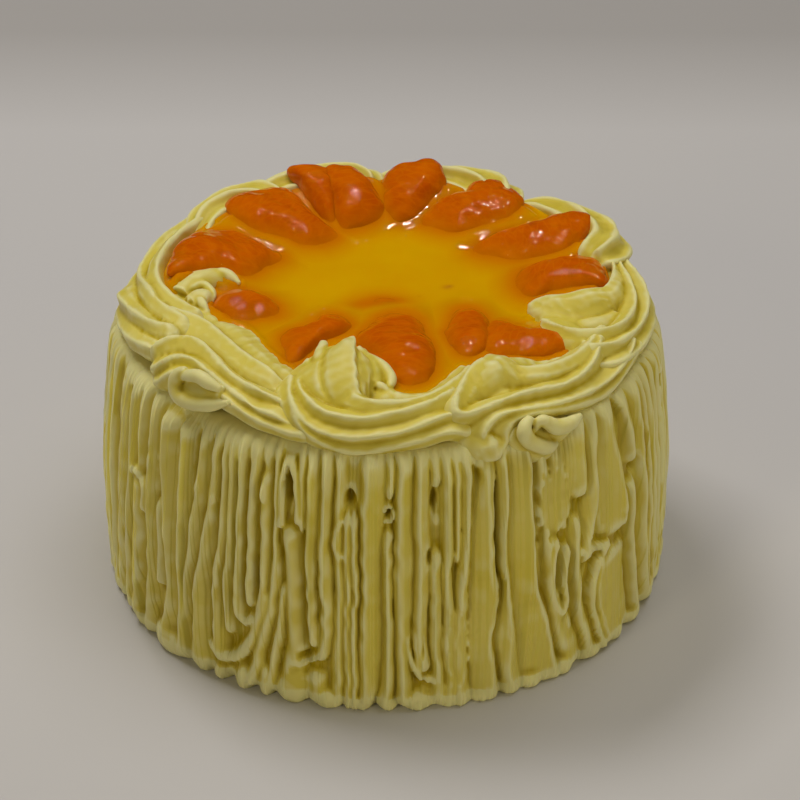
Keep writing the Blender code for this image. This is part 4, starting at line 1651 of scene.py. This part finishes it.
@dataclass
class RidgedSkin:
    """The skin of a traced scroll: a plump roll of cream that is drawn up into its ridges.

    Attributes:
        around: How many points each section has.
        step: How far apart the sections are.
        overhang: How far the roll goes inwards past its innermost ridge.
        round_end: The angle over which its ends are rounded.
        least: The least share of its size that the roll keeps in a hollow.
        crest: How wide a ridge is.
        sharpness: How steeply a ridge's flanks begin.
        hold: How far from a ridge its height reaches.
        slump: How fast it falls beyond that.
        spread: How far from its nearest ridge the roll stays at its floor.
        deepest: How far the roll sinks where it has no ridge.
        ragged: How far the scroll's inner edge strays.
    """

    around: int = 170
    step: float = 0.5
    overhang: float = 1.5
    round_end: float = 5.0
    least: float = 0.15
    crest: float = 2.5
    sharpness: float = 1.35
    hold: float = 3.6
    slump: float = 1.0
    spread: float = 5.0
    deepest: float = -8.5
    ragged: float = 0.18

    def inner_reach(self, scroll: TracedScroll, angles: Array) -> Array:
        """How far the roll goes inwards, from the scroll's innermost ridge.

        Args:
            scroll: The scroll.
            angles: Each section's angle.

        Returns:
            The reach at each section, evened out.
        """
        line = smooth_run(scroll.ridges[0], 8)
        turn = np.mod(np.degrees(np.arctan2(line[:, 1], line[:, 0])) - scroll.start, 360.0)
        radius = np.hypot(line[:, 0], line[:, 1])
        order = np.argsort(turn)
        reach = CORE[0] - np.interp(angles - scroll.start, turn[order], radius[order]) + self.overhang
        kernel = np.hanning(19)
        padded = np.pad(reach, len(kernel) // 2, mode="edge")
        return np.convolve(padded, kernel / kernel.sum(), mode="valid")

    def build(self, scroll: TracedScroll, seed: int) -> Piece:
        """Draw the skin as one closed mesh.

        Args:
            scroll: The scroll to draw.
            seed: Starts the straying of its inner edge.

        Returns:
            The skin, not yet fused with the scroll's hooks.
        """
        span = scroll.end - scroll.start
        rows = round(math.radians(span) * CORE[0] / self.step)
        blank = Drum(scroll.node.replace("border_", "piped_"), self.around, rows)
        piece = blank.build()
        column, row, hub = blank.grid_places(piece)
        angles = scroll.start + np.arange(rows + 1) / rows * span
        inner = self.inner_reach(scroll, angles)
        turn = np.radians(angles)[:, None]
        way = (2 * math.pi * np.arange(self.around) / self.around)[None, :]
        wide = np.where(np.cos(way) > 0.0, REACH[0], inner[:, None])
        run = np.minimum(angles - scroll.start, scroll.end - angles)[:, None]
        close = np.sqrt(np.clip(1.0 - (1.0 - run / self.round_end).clip(0.0, 1.0) ** 2, 0.0, 1.0))
        across, up = np.cos(way) * wide, np.sin(way) * REACH[1] + 0.0 * wide
        lift = self.lift(scroll, seed, self.place(turn, across, up), inner, angles)
        share = np.maximum(self.least, 1.0 + lift / np.hypot(across, up)) * close
        points = self.place(turn, across * share, up * share)[row, column]
        middle = self.place(turn, 0.0 * across, 0.0 * up)[:, 0]
        points[hub] = middle[row[hub]]
        write_points(piece.data, points)
        face_outward(piece)
        return piece

    @staticmethod
    def place(turn: Array, across: Array, up: Array) -> Array:
        """Places from their angle and how far out of and above the roll's middle they are."""
        radius = CORE[0] + across
        return np.stack((radius * np.cos(turn), radius * np.sin(turn), CORE[1] + up), axis=-1)

    def lift(self, scroll: TracedScroll, seed: int, skin: Array, inner: Array, angles: Array) -> Array:
        """How far the skin rises over the plain roll.

        Args:
            scroll: The scroll with its ridges.
            seed: Starts the straying of its inner edge.
            skin: The plain roll's points, sections by points round each by 3.
            inner: The roll's inward reach at each section.
            angles: Each section's angle.

        Returns:
            The rise for each of the skin's points.
        """
        draw = np.random.default_rng(seed)
        flat = [Vector(row) for row in skin.reshape(-1, 3)]
        best = np.full(len(flat), -np.inf)
        nearest = np.full(len(flat), np.inf)
        for number, (ridge, depth) in enumerate(zip(scroll.ridges, scroll.depths)):
            line = smooth_run(ridge, 24)
            if number == 0:
                knots = len(line) // 4 + 2
                line[:, 2] += np.interp(np.arange(len(line)) / 4.0, np.arange(knots),
                                        draw.normal(0.0, self.ragged, knots))
            turned = np.degrees(np.arctan2(line[:, 1], line[:, 0]))
            turned = scroll.start + np.mod(turned - scroll.start + 90.0, 360.0) - 90.0
            across, up = np.hypot(line[:, 0], line[:, 1]) - CORE[0], line[:, 2] - CORE[1]
            wide = np.where(across > 0.0, REACH[0], np.interp(turned, angles, inner))
            size = np.hypot(across / wide, up / REACH[1])
            rise = np.hypot(across, up) * (1.0 - 1.0 / size)
            tree = KDTree(len(line))
            for index, spot in enumerate(self.place(np.radians(turned), across / size, up / size)):
                tree.insert(Vector(spot), index)
            tree.balance()
            for index, spot in enumerate(flat):
                _, found, away = tree.find(spot)
                nearest[index] = min(nearest[index], away)
                height = rise[found] - depth * (1.0 - math.exp(-(away / self.crest) ** self.sharpness))
                height -= self.slump * max(0.0, away - self.hold)
                best[index] = max(best[index], height)
        best = np.maximum(best, scroll.floor) - self.slump * np.clip(nearest - self.spread, 0.0, None)
        return np.maximum(best, self.deepest).reshape(skin.shape[:2])


@dataclass
class Unevenness:
    """Slight lumps and drags that a hand-piped or cut surface has, in millimetres."""

    size: float
    strength: float
    seed: int
    waves: int = 7

    def press(self, piece: Piece) -> None:
        """Move the piece's points along their normals by smooth noise.

        Args:
            piece: The piece.
        """
        points = read_points(piece.data)
        draw = np.random.default_rng(self.seed)
        waves = draw.normal(0.0, 1.0, (self.waves, 3))
        waves *= 2 * math.pi / (self.size * np.linalg.norm(waves, axis=1, keepdims=True))
        phases = draw.uniform(0.0, 2 * math.pi, self.waves)
        level = np.sin(points @ waves.T + phases).sum(axis=1) / math.sqrt(self.waves)
        write_points(piece.data, points + self.strength * level[:, None] * read_normals(piece.data))


@dataclass
class Border:
    """The nine scrolls and the two hooks that hang over the edge.

    Attributes:
        radius: A plain scroll's half width.
        height: The height of its middle.
        tail_dip: How far its tail sinks.
        shares: Shares of its length, for the two below.
        swell: Its half width at each, as a share of the usual.
        tip_reach: How far its head's peak and its tail's end reach.
        tip_rise: How far the peak rises.
        tip_width: The half width of both.
        head_fade: How fast its head comes down along it.
        piping: Pipes the scrolls.
        pieces: The finished pieces.
    """

    radius: float = 10.7
    height: float = 97.5
    tail_dip: float = 1.0
    shares: Row = (0.0, 0.18, 0.75, 1.0)
    swell: Row = (0.62, 1.0, 0.95, 0.45)
    tip_reach: float = 5.0
    tip_rise: float = 2.5
    tip_width: float = 0.8
    head_fade: float = 2.5
    piping: Piping = field(default_factory=Piping)
    pieces: list[Piece] = field(default_factory=list)

    def pipe(self, scroll: Scroll, star: Piece, seed: int) -> Piece:
        """Pipe one scroll, with a peaked head and a tail that thins out.

        Args:
            scroll: The scroll.
            star: The tip's outline.
            seed: Starts its unevenness.

        Returns:
            The piece.
        """
        places, widths, tilts = [], [], []
        for index, (angle, radius) in enumerate(scroll.route):
            share = index / (len(scroll.route) - 1)
            rise = scroll.lift * max(0.0, 1.0 - self.head_fade * share)
            places.append(polar(angle, radius, self.height + rise - self.tail_dip * share ** 3))
            widths.append(self.radius * scroll.thickness * float(np.interp(share, self.shares, self.swell)))
            tilts.append(scroll.twist * share)
        back, ahead = places[0] - places[1], places[-1] - places[-2]
        head = places[0] + self.tip_reach * (back / np.linalg.norm(back)) + (0.0, 0.0, self.tip_rise)
        tail = places[-1] + self.tip_reach * (ahead / np.linalg.norm(ahead))
        widths = [self.tip_width, *widths, self.tip_width]
        tilts = [tilts[0], *tilts, tilts[-1]]
        name = scroll.node.replace("border_", "piped_")
        piece = self.piping.fuse([self.piping.sweep(name, [head, *places, tail], widths, tilts, star)])
        Unevenness(12.0, 0.25, seed).press(piece)
        Unevenness(4.0, 0.03, seed + 50).press(piece)
        return piece

    def draw(self, scroll: TracedScroll, round_tip: Piece, seed: int) -> Piece:
        """Draw one traced scroll with its hooks.

        Args:
            scroll: The scroll.
            round_tip: The outline of its hooks.
            seed: Starts its unevenness.

        Returns:
            The piece.
        """
        piece = self.piping.fuse([RidgedSkin().build(scroll, seed), *self.strands(scroll.wisps, round_tip)])
        Unevenness(10.0, 0.16, seed).press(piece)
        Unevenness(3.5, 0.035, seed + 50).press(piece)
        return piece

    def curl(self, hook: Hook, round_tip: Piece, seed: int) -> Piece:
        """Curl one hook.

        Args:
            hook: The hook.
            round_tip: The outline of its strands.
            seed: Starts its unevenness.

        Returns:
            The piece.
        """
        piece = Piping(easing=6).fuse(self.strands(hook.wisps, round_tip))
        piece.name = hook.node.replace("border_", "piped_")
        Unevenness(9.0, 0.14, seed).press(piece)
        return piece

    def strands(self, wisps: Sequence[Wisp], round_tip: Piece) -> list[Piece]:
        """Sweep each strand."""
        return [self.piping.sweep(f"wisp_{index}", wisp.places, wisp.widths, (0.0,) * len(wisp.places),
                                  round_tip) for index, wisp in enumerate(wisps)]

    def finish(self, piece: Piece, looks: Looks, node: str, rounds: int = 30,
               full_depth: float = 0.55) -> None:
        """Mark a piece's creases and hand it over.

        Args:
            piece: The piece.
            looks: The materials.
            node: The solid that it stands for.
            rounds: How widely its surface is evened out to find its creases.
            full_depth: The depth that counts as a full crease.
        """
        mark_hollows(piece, rounds, full_depth)
        hand_over(piece, looks.cream, node)
        self.pieces.append(piece)

    def build(self, looks: Looks) -> None:
        """Build the whole border and hand it over.

        Args:
            looks: The materials.
        """
        round_tip = StarTip(lobes=4, flute=0.0, steps=7).build()
        for index, traced in enumerate(TRACED_SCROLLS):
            self.finish(self.draw(traced, round_tip, 200 + index), looks, traced.node)
        for index, hook in enumerate(HOOKS):
            self.finish(self.curl(hook, round_tip, 260 + index), looks, hook.node, 24, 0.45)
        bpy.data.objects.remove(round_tip, do_unlink=True)
        star = StarTip().build()
        for index, scroll in enumerate(SCROLLS):
            self.finish(self.pipe(scroll, star, 100 + index), looks, scroll.node)
        bpy.data.objects.remove(star, do_unlink=True)


# The fruit and the pool

@dataclass(frozen=True)
class Segment:
    """A mandarin segment that lies half sunk in the glaze.

    Attributes:
        node: The solid that it stands for.
        outer: The border's end of its rim's plane: angle, distance from the axis and height.
        inner: The other end.
        outline: The columns and rows at which the photograph shows its rim.
        top: How far its flesh rises over the rim.
        bottom: How far it goes below.
    """

    node: str
    outer: Spot3
    inner: Spot3
    outline: tuple[Spot, ...]
    top: float
    bottom: float


SEGMENTS = (
    Segment("mandarin_01", (168, 72, 105), (151, 39, 98.5), ((168, 283), (167, 267), (174, 251), (184, 239),
        (200, 230), (220, 227), (240, 230), (262, 238), (284, 250), (281, 263), (262, 274), (243, 281),
        (222, 275), (205, 276), (187, 278), (176, 278)), 5.2, 4.5),
    Segment("mandarin_02", (139, 72, 105), (116, 40, 98), ((225, 206), (228, 198), (245, 190), (261, 187),
        (279, 187), (294, 192), (305, 202), (317, 213), (330, 226), (338, 237), (333, 247), (319, 252),
        (301, 248), (277, 241), (257, 235), (240, 226), (231, 217)), 5.4, 4.5),
    Segment("mandarin_03", (113, 74, 106.5), (116, 46, 98), ((287, 169), (301, 163.5), (317, 164), (328, 169),
        (334, 182), (337, 197), (338, 216), (334, 232), (322, 222), (312, 208), (303, 196), (297, 182)), 5.2,
        4.5),
    Segment("mandarin_04", (100, 71, 107), (101, 42, 98), ((323, 168), (333, 163), (350, 164.5), (361, 172),
        (370, 182), (378, 194), (387, 209), (378, 222), (359, 234), (342, 236), (333, 225), (328, 205),
        (323, 185)), 5.2, 4.5),
    Segment("mandarin_05", (79, 74, 106.5), (84, 46, 98), ((377, 196), (385, 172), (398, 163), (417, 161),
        (425, 158), (436, 158), (443, 167), (446, 180), (443, 192), (434, 202), (424, 215), (410, 226),
        (392, 229), (380, 222), (375, 210)), 5.4, 4.5),
    Segment("mandarin_06", (50, 71, 105), (73, 43, 98), ((427, 205), (442, 198), (463, 195), (470, 186),
        (485, 181), (500, 181), (511, 186), (520, 193), (523, 203), (518, 213), (501, 224), (481, 233),
        (455, 237), (432, 234), (418, 225)), 5.2, 4.5),
    Segment("mandarin_07", (27, 75, 105), (42, 41, 98), ((545, 221), (560, 214), (582, 212), (592, 216),
        (592, 225), (585, 238), (574, 247), (559, 256), (539, 262), (511, 265), (485, 260), (472, 250),
        (477, 240), (496, 232), (522, 227)), 5, 4.5),
    Segment("mandarin_08", (3, 70.5, 102.5), (8, 40, 98), ((511, 281), (514, 270), (529, 264), (567, 257),
        (587, 257), (600, 264), (608, 279), (606, 287), (591, 287), (570, 291), (548, 295), (530, 301),
        (518, 295)), 4.6, 4.5),
    Segment("mandarin_09", (327, 65, 98.5), (321, 36, 98.5), ((484, 322), (496, 318), (510, 321), (534, 330),
        (556, 336), (576, 339), (575, 348), (562, 356), (540, 360), (514, 360), (494, 358), (482, 352),
        (479, 338)), 4, 4),
    Segment("mandarin_10", (301, 50, 98.5), (321, 24, 98.5), ((446, 328), (450, 311), (459, 303), (475, 304),
        (486, 312), (491, 323), (490, 338), (486, 352), (476, 362), (462, 362), (452, 352), (446, 341)), 4,
        4),
    Segment("mandarin_11", (274, 65, 98.5), (277, 16, 98.5), ((356, 333), (365, 323), (380, 310), (395, 305),
        (411, 306), (422, 314), (428, 328), (434, 345), (437, 362), (434, 380), (422, 391), (402, 394),
        (380, 381), (366, 364), (357, 349)), 4.4, 4),
    Segment("mandarin_12", (240, 57, 98.5), (238, 20, 98.5), ((283, 335), (296, 327), (314, 318), (328, 310),
        (341, 311), (352, 319), (353, 327), (338, 336), (322, 345), (309, 357), (296, 368), (286, 368),
        (282, 352)), 3.8, 4),
    Segment("mandarin_13", (197, 60, 100), (198, 35, 98), ((211, 308), (218, 295), (232, 288), (252, 288),
        (270, 297), (281, 309), (279, 319), (258, 323), (236, 324), (224, 318), (217, 312)), 3.8, 4),
    Segment("mandarin_sliver", (215, 10, 97), (320, 6, 97), ((354, 307), (364, 300), (380, 297), (394, 299),
        (400, 303), (386, 305), (368, 308)), 0.35, 1.6),
)


class Rim:
    """The rim of a segment: a closed line in a tilted plane."""

    SHRINK = 0.86

    def __init__(self, segment: Segment) -> None:
        """Smooth the traced rim and find its plane.

        Args:
            segment: The segment.
        """
        inner = polar(*segment.inner)
        ahead = polar(*segment.outer) - inner
        slope = ahead[2] / (ahead[:2] @ ahead[:2])
        normal = np.array((-slope * ahead[0], -slope * ahead[1], 1.0))
        rim = np.array([on_plane(pixel, inner, normal) for pixel in segment.outline])
        rim[:, 1] = rim[:, 1].mean() + self.SHRINK * (rim[:, 1] - rim[:, 1].mean())
        rim = list(rim)
        rim = smooth_run(rim[-2:] + rim + rim[:2], 12)[24:-24]
        self.middle = rim.mean(axis=0)
        ahead, _, up = np.linalg.svd(rim - self.middle, full_matrices=False)[2]
        up = up * np.sign(up[2])
        self.axes = np.stack((ahead, np.cross(up, ahead), up))
        flat = (rim - self.middle) @ self.axes.T
        self.turns = np.linspace(-math.pi, math.pi, 240, endpoint=False)
        reach = np.interp(self.turns, np.arctan2(flat[:, 1], flat[:, 0]), np.hypot(flat[:, 0], flat[:, 1]),
                          period=2 * math.pi)
        weights = np.hanning(13)[1:-1]
        self.reach = np.convolve(np.pad(reach, 5, mode="wrap"), weights / weights.sum(), mode="valid")

    def reach_at(self, turn: Array) -> Array:
        """How far the rim is from its middle in some directions."""
        return np.interp(turn, self.turns, self.reach, period=2 * math.pi)

    def lie(self, points: Array) -> tuple[Array, Array]:
        """Set some places against the rim, as seen from above.

        Args:
            points: The places, one row each.

        Returns:
            How far each is beyond the rim, and the height of the rim's plane there.
        """
        up = self.axes[2]
        shift = points[:, :2] - self.middle[:2]
        height = self.middle[2] - (shift @ up[:2]) / up[2]
        local = np.column_stack((shift, height - self.middle[2])) @ self.axes.T
        away = np.hypot(local[:, 0], local[:, 1])
        return away - self.reach_at(np.arctan2(local[:, 1], local[:, 0])), height


@dataclass
class Fruit:
    """The mandarin segments laid round the pool.

    Attributes:
        sides: How many columns of faces go round a segment.
        rings: How many rows go up it.
        flank: How steeply it rises at its outer and its inner margin; less is steeper.
        dome: How flat its top is.
        dip: How far its rim lies below the traced one.
        veil: How far over the glaze its thin coat of glaze still shows.
        pieces: The finished pieces.
    """

    sides: int = 128
    rings: int = 72
    flank: Spot = (0.60, 1.1)
    dome: float = 2.6
    dip: float = 0.5
    veil: float = 3.4
    pieces: list[Piece] = field(default_factory=list)

    def cut(self, segment: Segment, pool: "Pool", seed: int) -> Piece:
        """Shape one segment from a ball that is pushed out to the traced rim.

        Args:
            segment: The segment to shape.
            pool: The glaze that it lies in.
            seed: Starts its unevenness.

        Returns:
            The closed piece.
        """
        name = segment.node.replace("mandarin", "mandarin_flesh")
        piece = fresh(bpy.ops.mesh.primitive_uv_sphere_add, name,
                      segments=self.sides, ring_count=self.rings, radius=1)
        rim = Rim(segment)
        ball = read_points(piece.data) * MM
        out = np.hypot(ball[:, 0], ball[:, 1])
        turn = np.arctan2(ball[:, 1], ball[:, 0])
        wide = rim.reach_at(turn) * out
        outward = rim.axes[:2] @ (rim.middle / np.linalg.norm(rim.middle[:2]))
        inner = 0.5 - 0.5 * (np.cos(turn) * outward[0] + np.sin(turn) * outward[1])
        bend = self.flank[0] + (self.flank[1] - self.flank[0]) * np.clip(1.5 * inner, 0.0, 1.0)
        mound = np.clip(1.0 - out ** self.dome, 0.0, 1.0) ** bend
        rise = np.where(ball[:, 2] > 0.0, (segment.top + self.dip) * mound,
                        (self.dip - segment.bottom) * np.abs(ball[:, 2])) - self.dip
        local = np.stack((wide * np.cos(turn), wide * np.sin(turn), rise), axis=1)
        write_points(piece.data, rim.middle + local @ rim.axes)
        face_outward(piece)
        layer = piece.data.attributes.new("pulp", "FLOAT_VECTOR", "POINT")
        layer.data.foreach_set("vector", local.astype(np.float32).ravel())
        Unevenness(14.0, 0.38, seed).press(piece)
        Unevenness(5.0, 0.13, seed + 1).press(piece)
        points = read_points(piece.data)
        over = points[:, 2] - pool.level_at(points)
        write_share(piece.data, "glazed", np.clip(1.0 - over / self.veil, 0.0, 1.0))
        return piece

    def build(self, looks: Looks, pool: "Pool") -> None:
        """Build every segment and hand it over.

        Args:
            looks: The materials.
            pool: The glaze that they lie in.
        """
        for index, segment in enumerate(SEGMENTS):
            piece = self.cut(segment, pool, 400 + 3 * index)
            hand_over(piece, looks.fruit, segment.node)
            self.pieces.append(piece)


@dataclass
class Pool:
    """The mango glaze inside the border, level but for where it climbs fruit and cream.

    Attributes:
        level: The height of its middle.
        bottom: The height of its underside.
        radius: Its radius, under the cream.
        rings: How many rows of faces it has from its underside to its middle.
        rim_rows: How many of them stand upright at its rim.
        spokes: How many columns go round it.
        climb: How far it climbs the cream.
        fillet: How far from the cream it begins to climb.
        lean: How far it rises towards the cream at the front and at the back.
        lean_from: The distance from the axis at which that rise begins.
        drape: How far from a segment it begins to climb.
        sunk: How far below a segment's rim it comes to.
        innermost: How near its middle the last row is.
        lean_bend: How steeply it begins to lean; 1 is a straight slope.
        fade: The width next to the border in which it stops rising against the fruit.
        most_rise: The most that it rises against the fruit.
        tint_reach: How far from the fruit its tint is felt.
        search: How far from a piece its distance is measured.
        flecks: Darker flecks in it: place, size and strength.
        rims: The rims of the segments that it climbs.
    """

    level: float = 97.0
    bottom: float = 91.8
    radius: float = 73.0
    rings: int = 120
    rim_rows: int = 4
    spokes: int = 420
    climb: float = 1.5
    fillet: float = 2.6
    lean: Spot = (0.7, 5.2)
    lean_from: float = 44.0
    drape: float = 7.5
    sunk: float = -0.3
    innermost: float = 0.995
    lean_bend: float = 1.3
    fade: float = 6.0
    most_rise: float = 8.0
    tint_reach: float = 5.0
    search: float = 8.0
    flecks: tuple[Row, ...] = (
        (19.9, 5.4, 1.5, 0.55), (21.2, 6.2, 0.9, 0.5), (10.6, -0.9, 0.7, 0.25))
    rims: list[Rim] = field(default_factory=lambda: [
        Rim(segment) for segment in SEGMENTS if segment.top > 1.0])

    def level_at(self, points: Array) -> Array:
        """The glaze's height: level in the middle, rising to the cream, most of all at the back.

        Args:
            points: Some places, one row each.

        Returns:
            The height at each.
        """
        out = np.hypot(points[:, 0], points[:, 1])
        back = np.clip((points[:, 1] / np.maximum(out, 1.0) + 0.25) / 0.6, 0.0, 1.0)
        back = back * back * (3.0 - 2.0 * back)
        share = np.clip((out - self.lean_from) / (self.radius - self.lean_from), 0.0, 1.0)
        level = self.level + share ** self.lean_bend * (self.lean[0] + (self.lean[1] - self.lean[0]) * back)
        fade = np.clip((self.radius + 0.5 - out) / self.fade, 0.0, 1.0)
        rise = np.zeros(len(points))
        for rim in self.rims:
            beyond, height = rim.lie(points)
            near = np.exp(-(np.clip(beyond, 0.0, None) / self.drape) ** 2)
            rise = np.maximum(rise, np.clip(height - self.sunk - level, 0.0, self.most_rise) * near)
        return level + rise * fade

    def build(self, looks: Looks, fruit: Sequence[Piece], cream: Sequence[Piece]) -> None:
        """Build the pool and hand it over.

        Args:
            looks: The materials.
            fruit: The segments that stand in it.
            cream: The border's pieces, that it climbs.
        """
        blank = Drum("mango_pool", self.spokes, self.rings)
        disc = blank.build()
        column, row, hub = blank.grid_places(disc)
        inward = np.clip((row - self.rim_rows) / (self.rings - self.rim_rows), 0.0, 1.0)
        radius = self.radius * (1.0 - inward * self.innermost)
        radius[hub] = 0.0
        turn = 2 * math.pi * column / self.spokes
        points = np.stack((radius * np.cos(turn), radius * np.sin(turn), 0.0 * turn), axis=1)
        share = np.clip(row / self.rim_rows, 0.0, 1.0)
        points[:, 2] = self.bottom + (self.level_at(points) - self.bottom) * share
        near_fruit, inside_fruit = self.distances(points, fruit)
        near_cream, _ = self.distances(points, cream)
        rise = 0.6 * self.climb * np.exp(-(near_cream / (0.6 * self.fillet)) ** 2)
        points[:, 2] += np.where((row > self.rim_rows) & ~inside_fruit, rise, 0.0)
        write_points(disc.data, points)
        tint = np.clip(1.15 * np.exp(-near_fruit / self.tint_reach) - 0.15, 0.0, 1.0)
        write_share(disc.data, "near_fruit", tint)
        stain = sum(share * np.exp(-(np.hypot(points[:, 0] - x, points[:, 1] - y) / size) ** 2)
                    for x, y, size, share in self.flecks)
        write_share(disc.data, "fleck", stain)
        hand_over(disc, looks.glaze, "mango_glaze")

    def distances(self, points: Array, others: Sequence[Piece]) -> tuple[Array, Array]:
        """Set some points against some pieces.

        Args:
            points: The points, one row each.
            others: The pieces.

        Returns:
            How far each point is from the nearest piece, and whether it is inside one.
        """
        away = np.full(len(points), np.inf)
        inside = np.zeros(len(points), dtype=bool)
        for other in others:
            where = read_points(other.data)
            low, high = where.min(axis=0) - self.search, where.max(axis=0) + self.search
            chosen = np.nonzero(((points > low) & (points < high)).all(axis=1))[0]
            faces = [tuple(face.vertices) for face in other.data.polygons]
            tree = BVHTree.FromPolygons([Vector(row) for row in where], faces)
            for index in chosen:
                spot = Vector(points[index])
                hit, normal, _, distance = tree.find_nearest(spot)
                if hit is None:
                    continue
                away[index] = min(away[index], distance)
                inside[index] |= (spot - hit).dot(normal) < 0.0
        return away, inside


# The studio

@dataclass
class Studio:
    """The floor, the lights and the camera.

    Attributes:
        floor_size: The floor's side, in metres.
        aim: Where the lights face, in metres.
    """

    floor_size: float = 6.0
    aim: Spot3 = (0.0, 0.0, 0.06)

    def build(self, looks: Looks) -> None:
        """Set up the whole studio.

        Args:
            looks: The materials.
        """
        self.add_camera()
        self.add_floor(looks)
        self.add_area("key", (-0.55, 0.50, 1.55), (0.7, 0.5), 12.6, (1.0, 0.985, 0.97), shines=False)
        self.add_area("overhead", (0.45, 0.1, 1.9), (1.3, 0.9), 10.9, (0.985, 0.985, 1.0), shines=False)
        self.add_area("side_fill", (-1.0, -1.3, 0.85), (0.4, 0.4), 4.3, (1.0, 0.91, 0.62), shines=False)
        self.add_area("low_fill", (1.2, -1.1, 0.40), (0.9, 0.7), 5.0, (1.0, 0.91, 0.60), shines=False)
        for index, (across, back) in enumerate(((-0.28, 0.02), (0.26, 0.10), (-0.02, 0.32), (0.30, 0.50))):
            self.add_area(f"tube_{index + 1}", (across, back, 1.25), (0.10, 0.016), 0.80, (1.0, 0.93, 0.78),
                          lights=False)
        self.add_area("panel", (-0.14, 0.62, 1.25), (0.04, 0.04), 0.6, (1.0, 0.95, 0.85), lights=False)
        world = bpy.data.worlds.new("room")
        world.use_nodes = True
        background = world.node_tree.nodes["Background"]
        background.inputs["Color"].default_value = (1.0, 0.95, 0.80, 1.0)
        background.inputs["Strength"].default_value = 0.11
        world.cycles_visibility.glossy = False
        bpy.context.scene.world = world
        bpy.context.scene.view_settings.view_transform = "Standard"

    def add_camera(self) -> None:
        """Place the camera at the photograph's viewing angle."""
        camera = fresh(bpy.ops.object.camera_add, "camera", location=[value * MM for value in VIEW.stand],
                       rotation=[math.radians(angle) for angle in VIEW.turn])
        camera.data.sensor_width = VIEW.sensor
        camera.data.lens = VIEW.lens
        camera.data.clip_start = 0.01
        bpy.context.scene.camera = camera

    def add_floor(self, looks: Looks) -> None:
        """Lay the floor.

        Args:
            looks: The materials.
        """
        floor = fresh(bpy.ops.mesh.primitive_plane_add, "floor", size=self.floor_size)
        floor.data.materials.append(looks.floor)
        settle(floor)

    def add_area(self, name: str, place: Spot3, size: Spot, power: float, colour: Spot3,
                 shines: bool = True, lights: bool = True) -> None:
        """Hang a rectangular light that faces the cake.

        Args:
            name: The light's name.
            place: Where it hangs, in metres.
            size: Its width and height, in metres.
            power: Its power in watts.
            colour: Its colour.
            shines: Whether it is seen in glossy surfaces.
            lights: Whether it lights the scene.
        """
        aim = Vector(self.aim) - Vector(place)
        lamp = fresh(bpy.ops.object.light_add, name, type="AREA", location=place,
                     rotation=aim.to_track_quat("-Z", "Y").to_euler())
        lamp.data.shape = "RECTANGLE"
        lamp.data.size, lamp.data.size_y = size
        lamp.data.energy = power
        lamp.data.color = colour
        lamp.visible_glossy = shines
        lamp.visible_diffuse = lights


def main() -> None:
    """Build the finishes, then each sub-assembly in order."""
    logging.basicConfig(level=logging.INFO, format="%(name)s %(message)s")
    effects = Effects()
    looks = Looks(cream=CreamFinish().build(effects), glaze=GlazeFinish().build(effects),
                  fruit=FruitFinish().build(effects), floor=FloorFinish().build())
    Studio().build(looks)
    Curtain().build(looks)
    border = Border()
    border.build(looks)
    fruit = Fruit()
    pool = Pool()
    fruit.build(looks, pool)
    pool.build(looks, fruit.pieces, border.pieces)


if __name__ == "__main__":
    main()
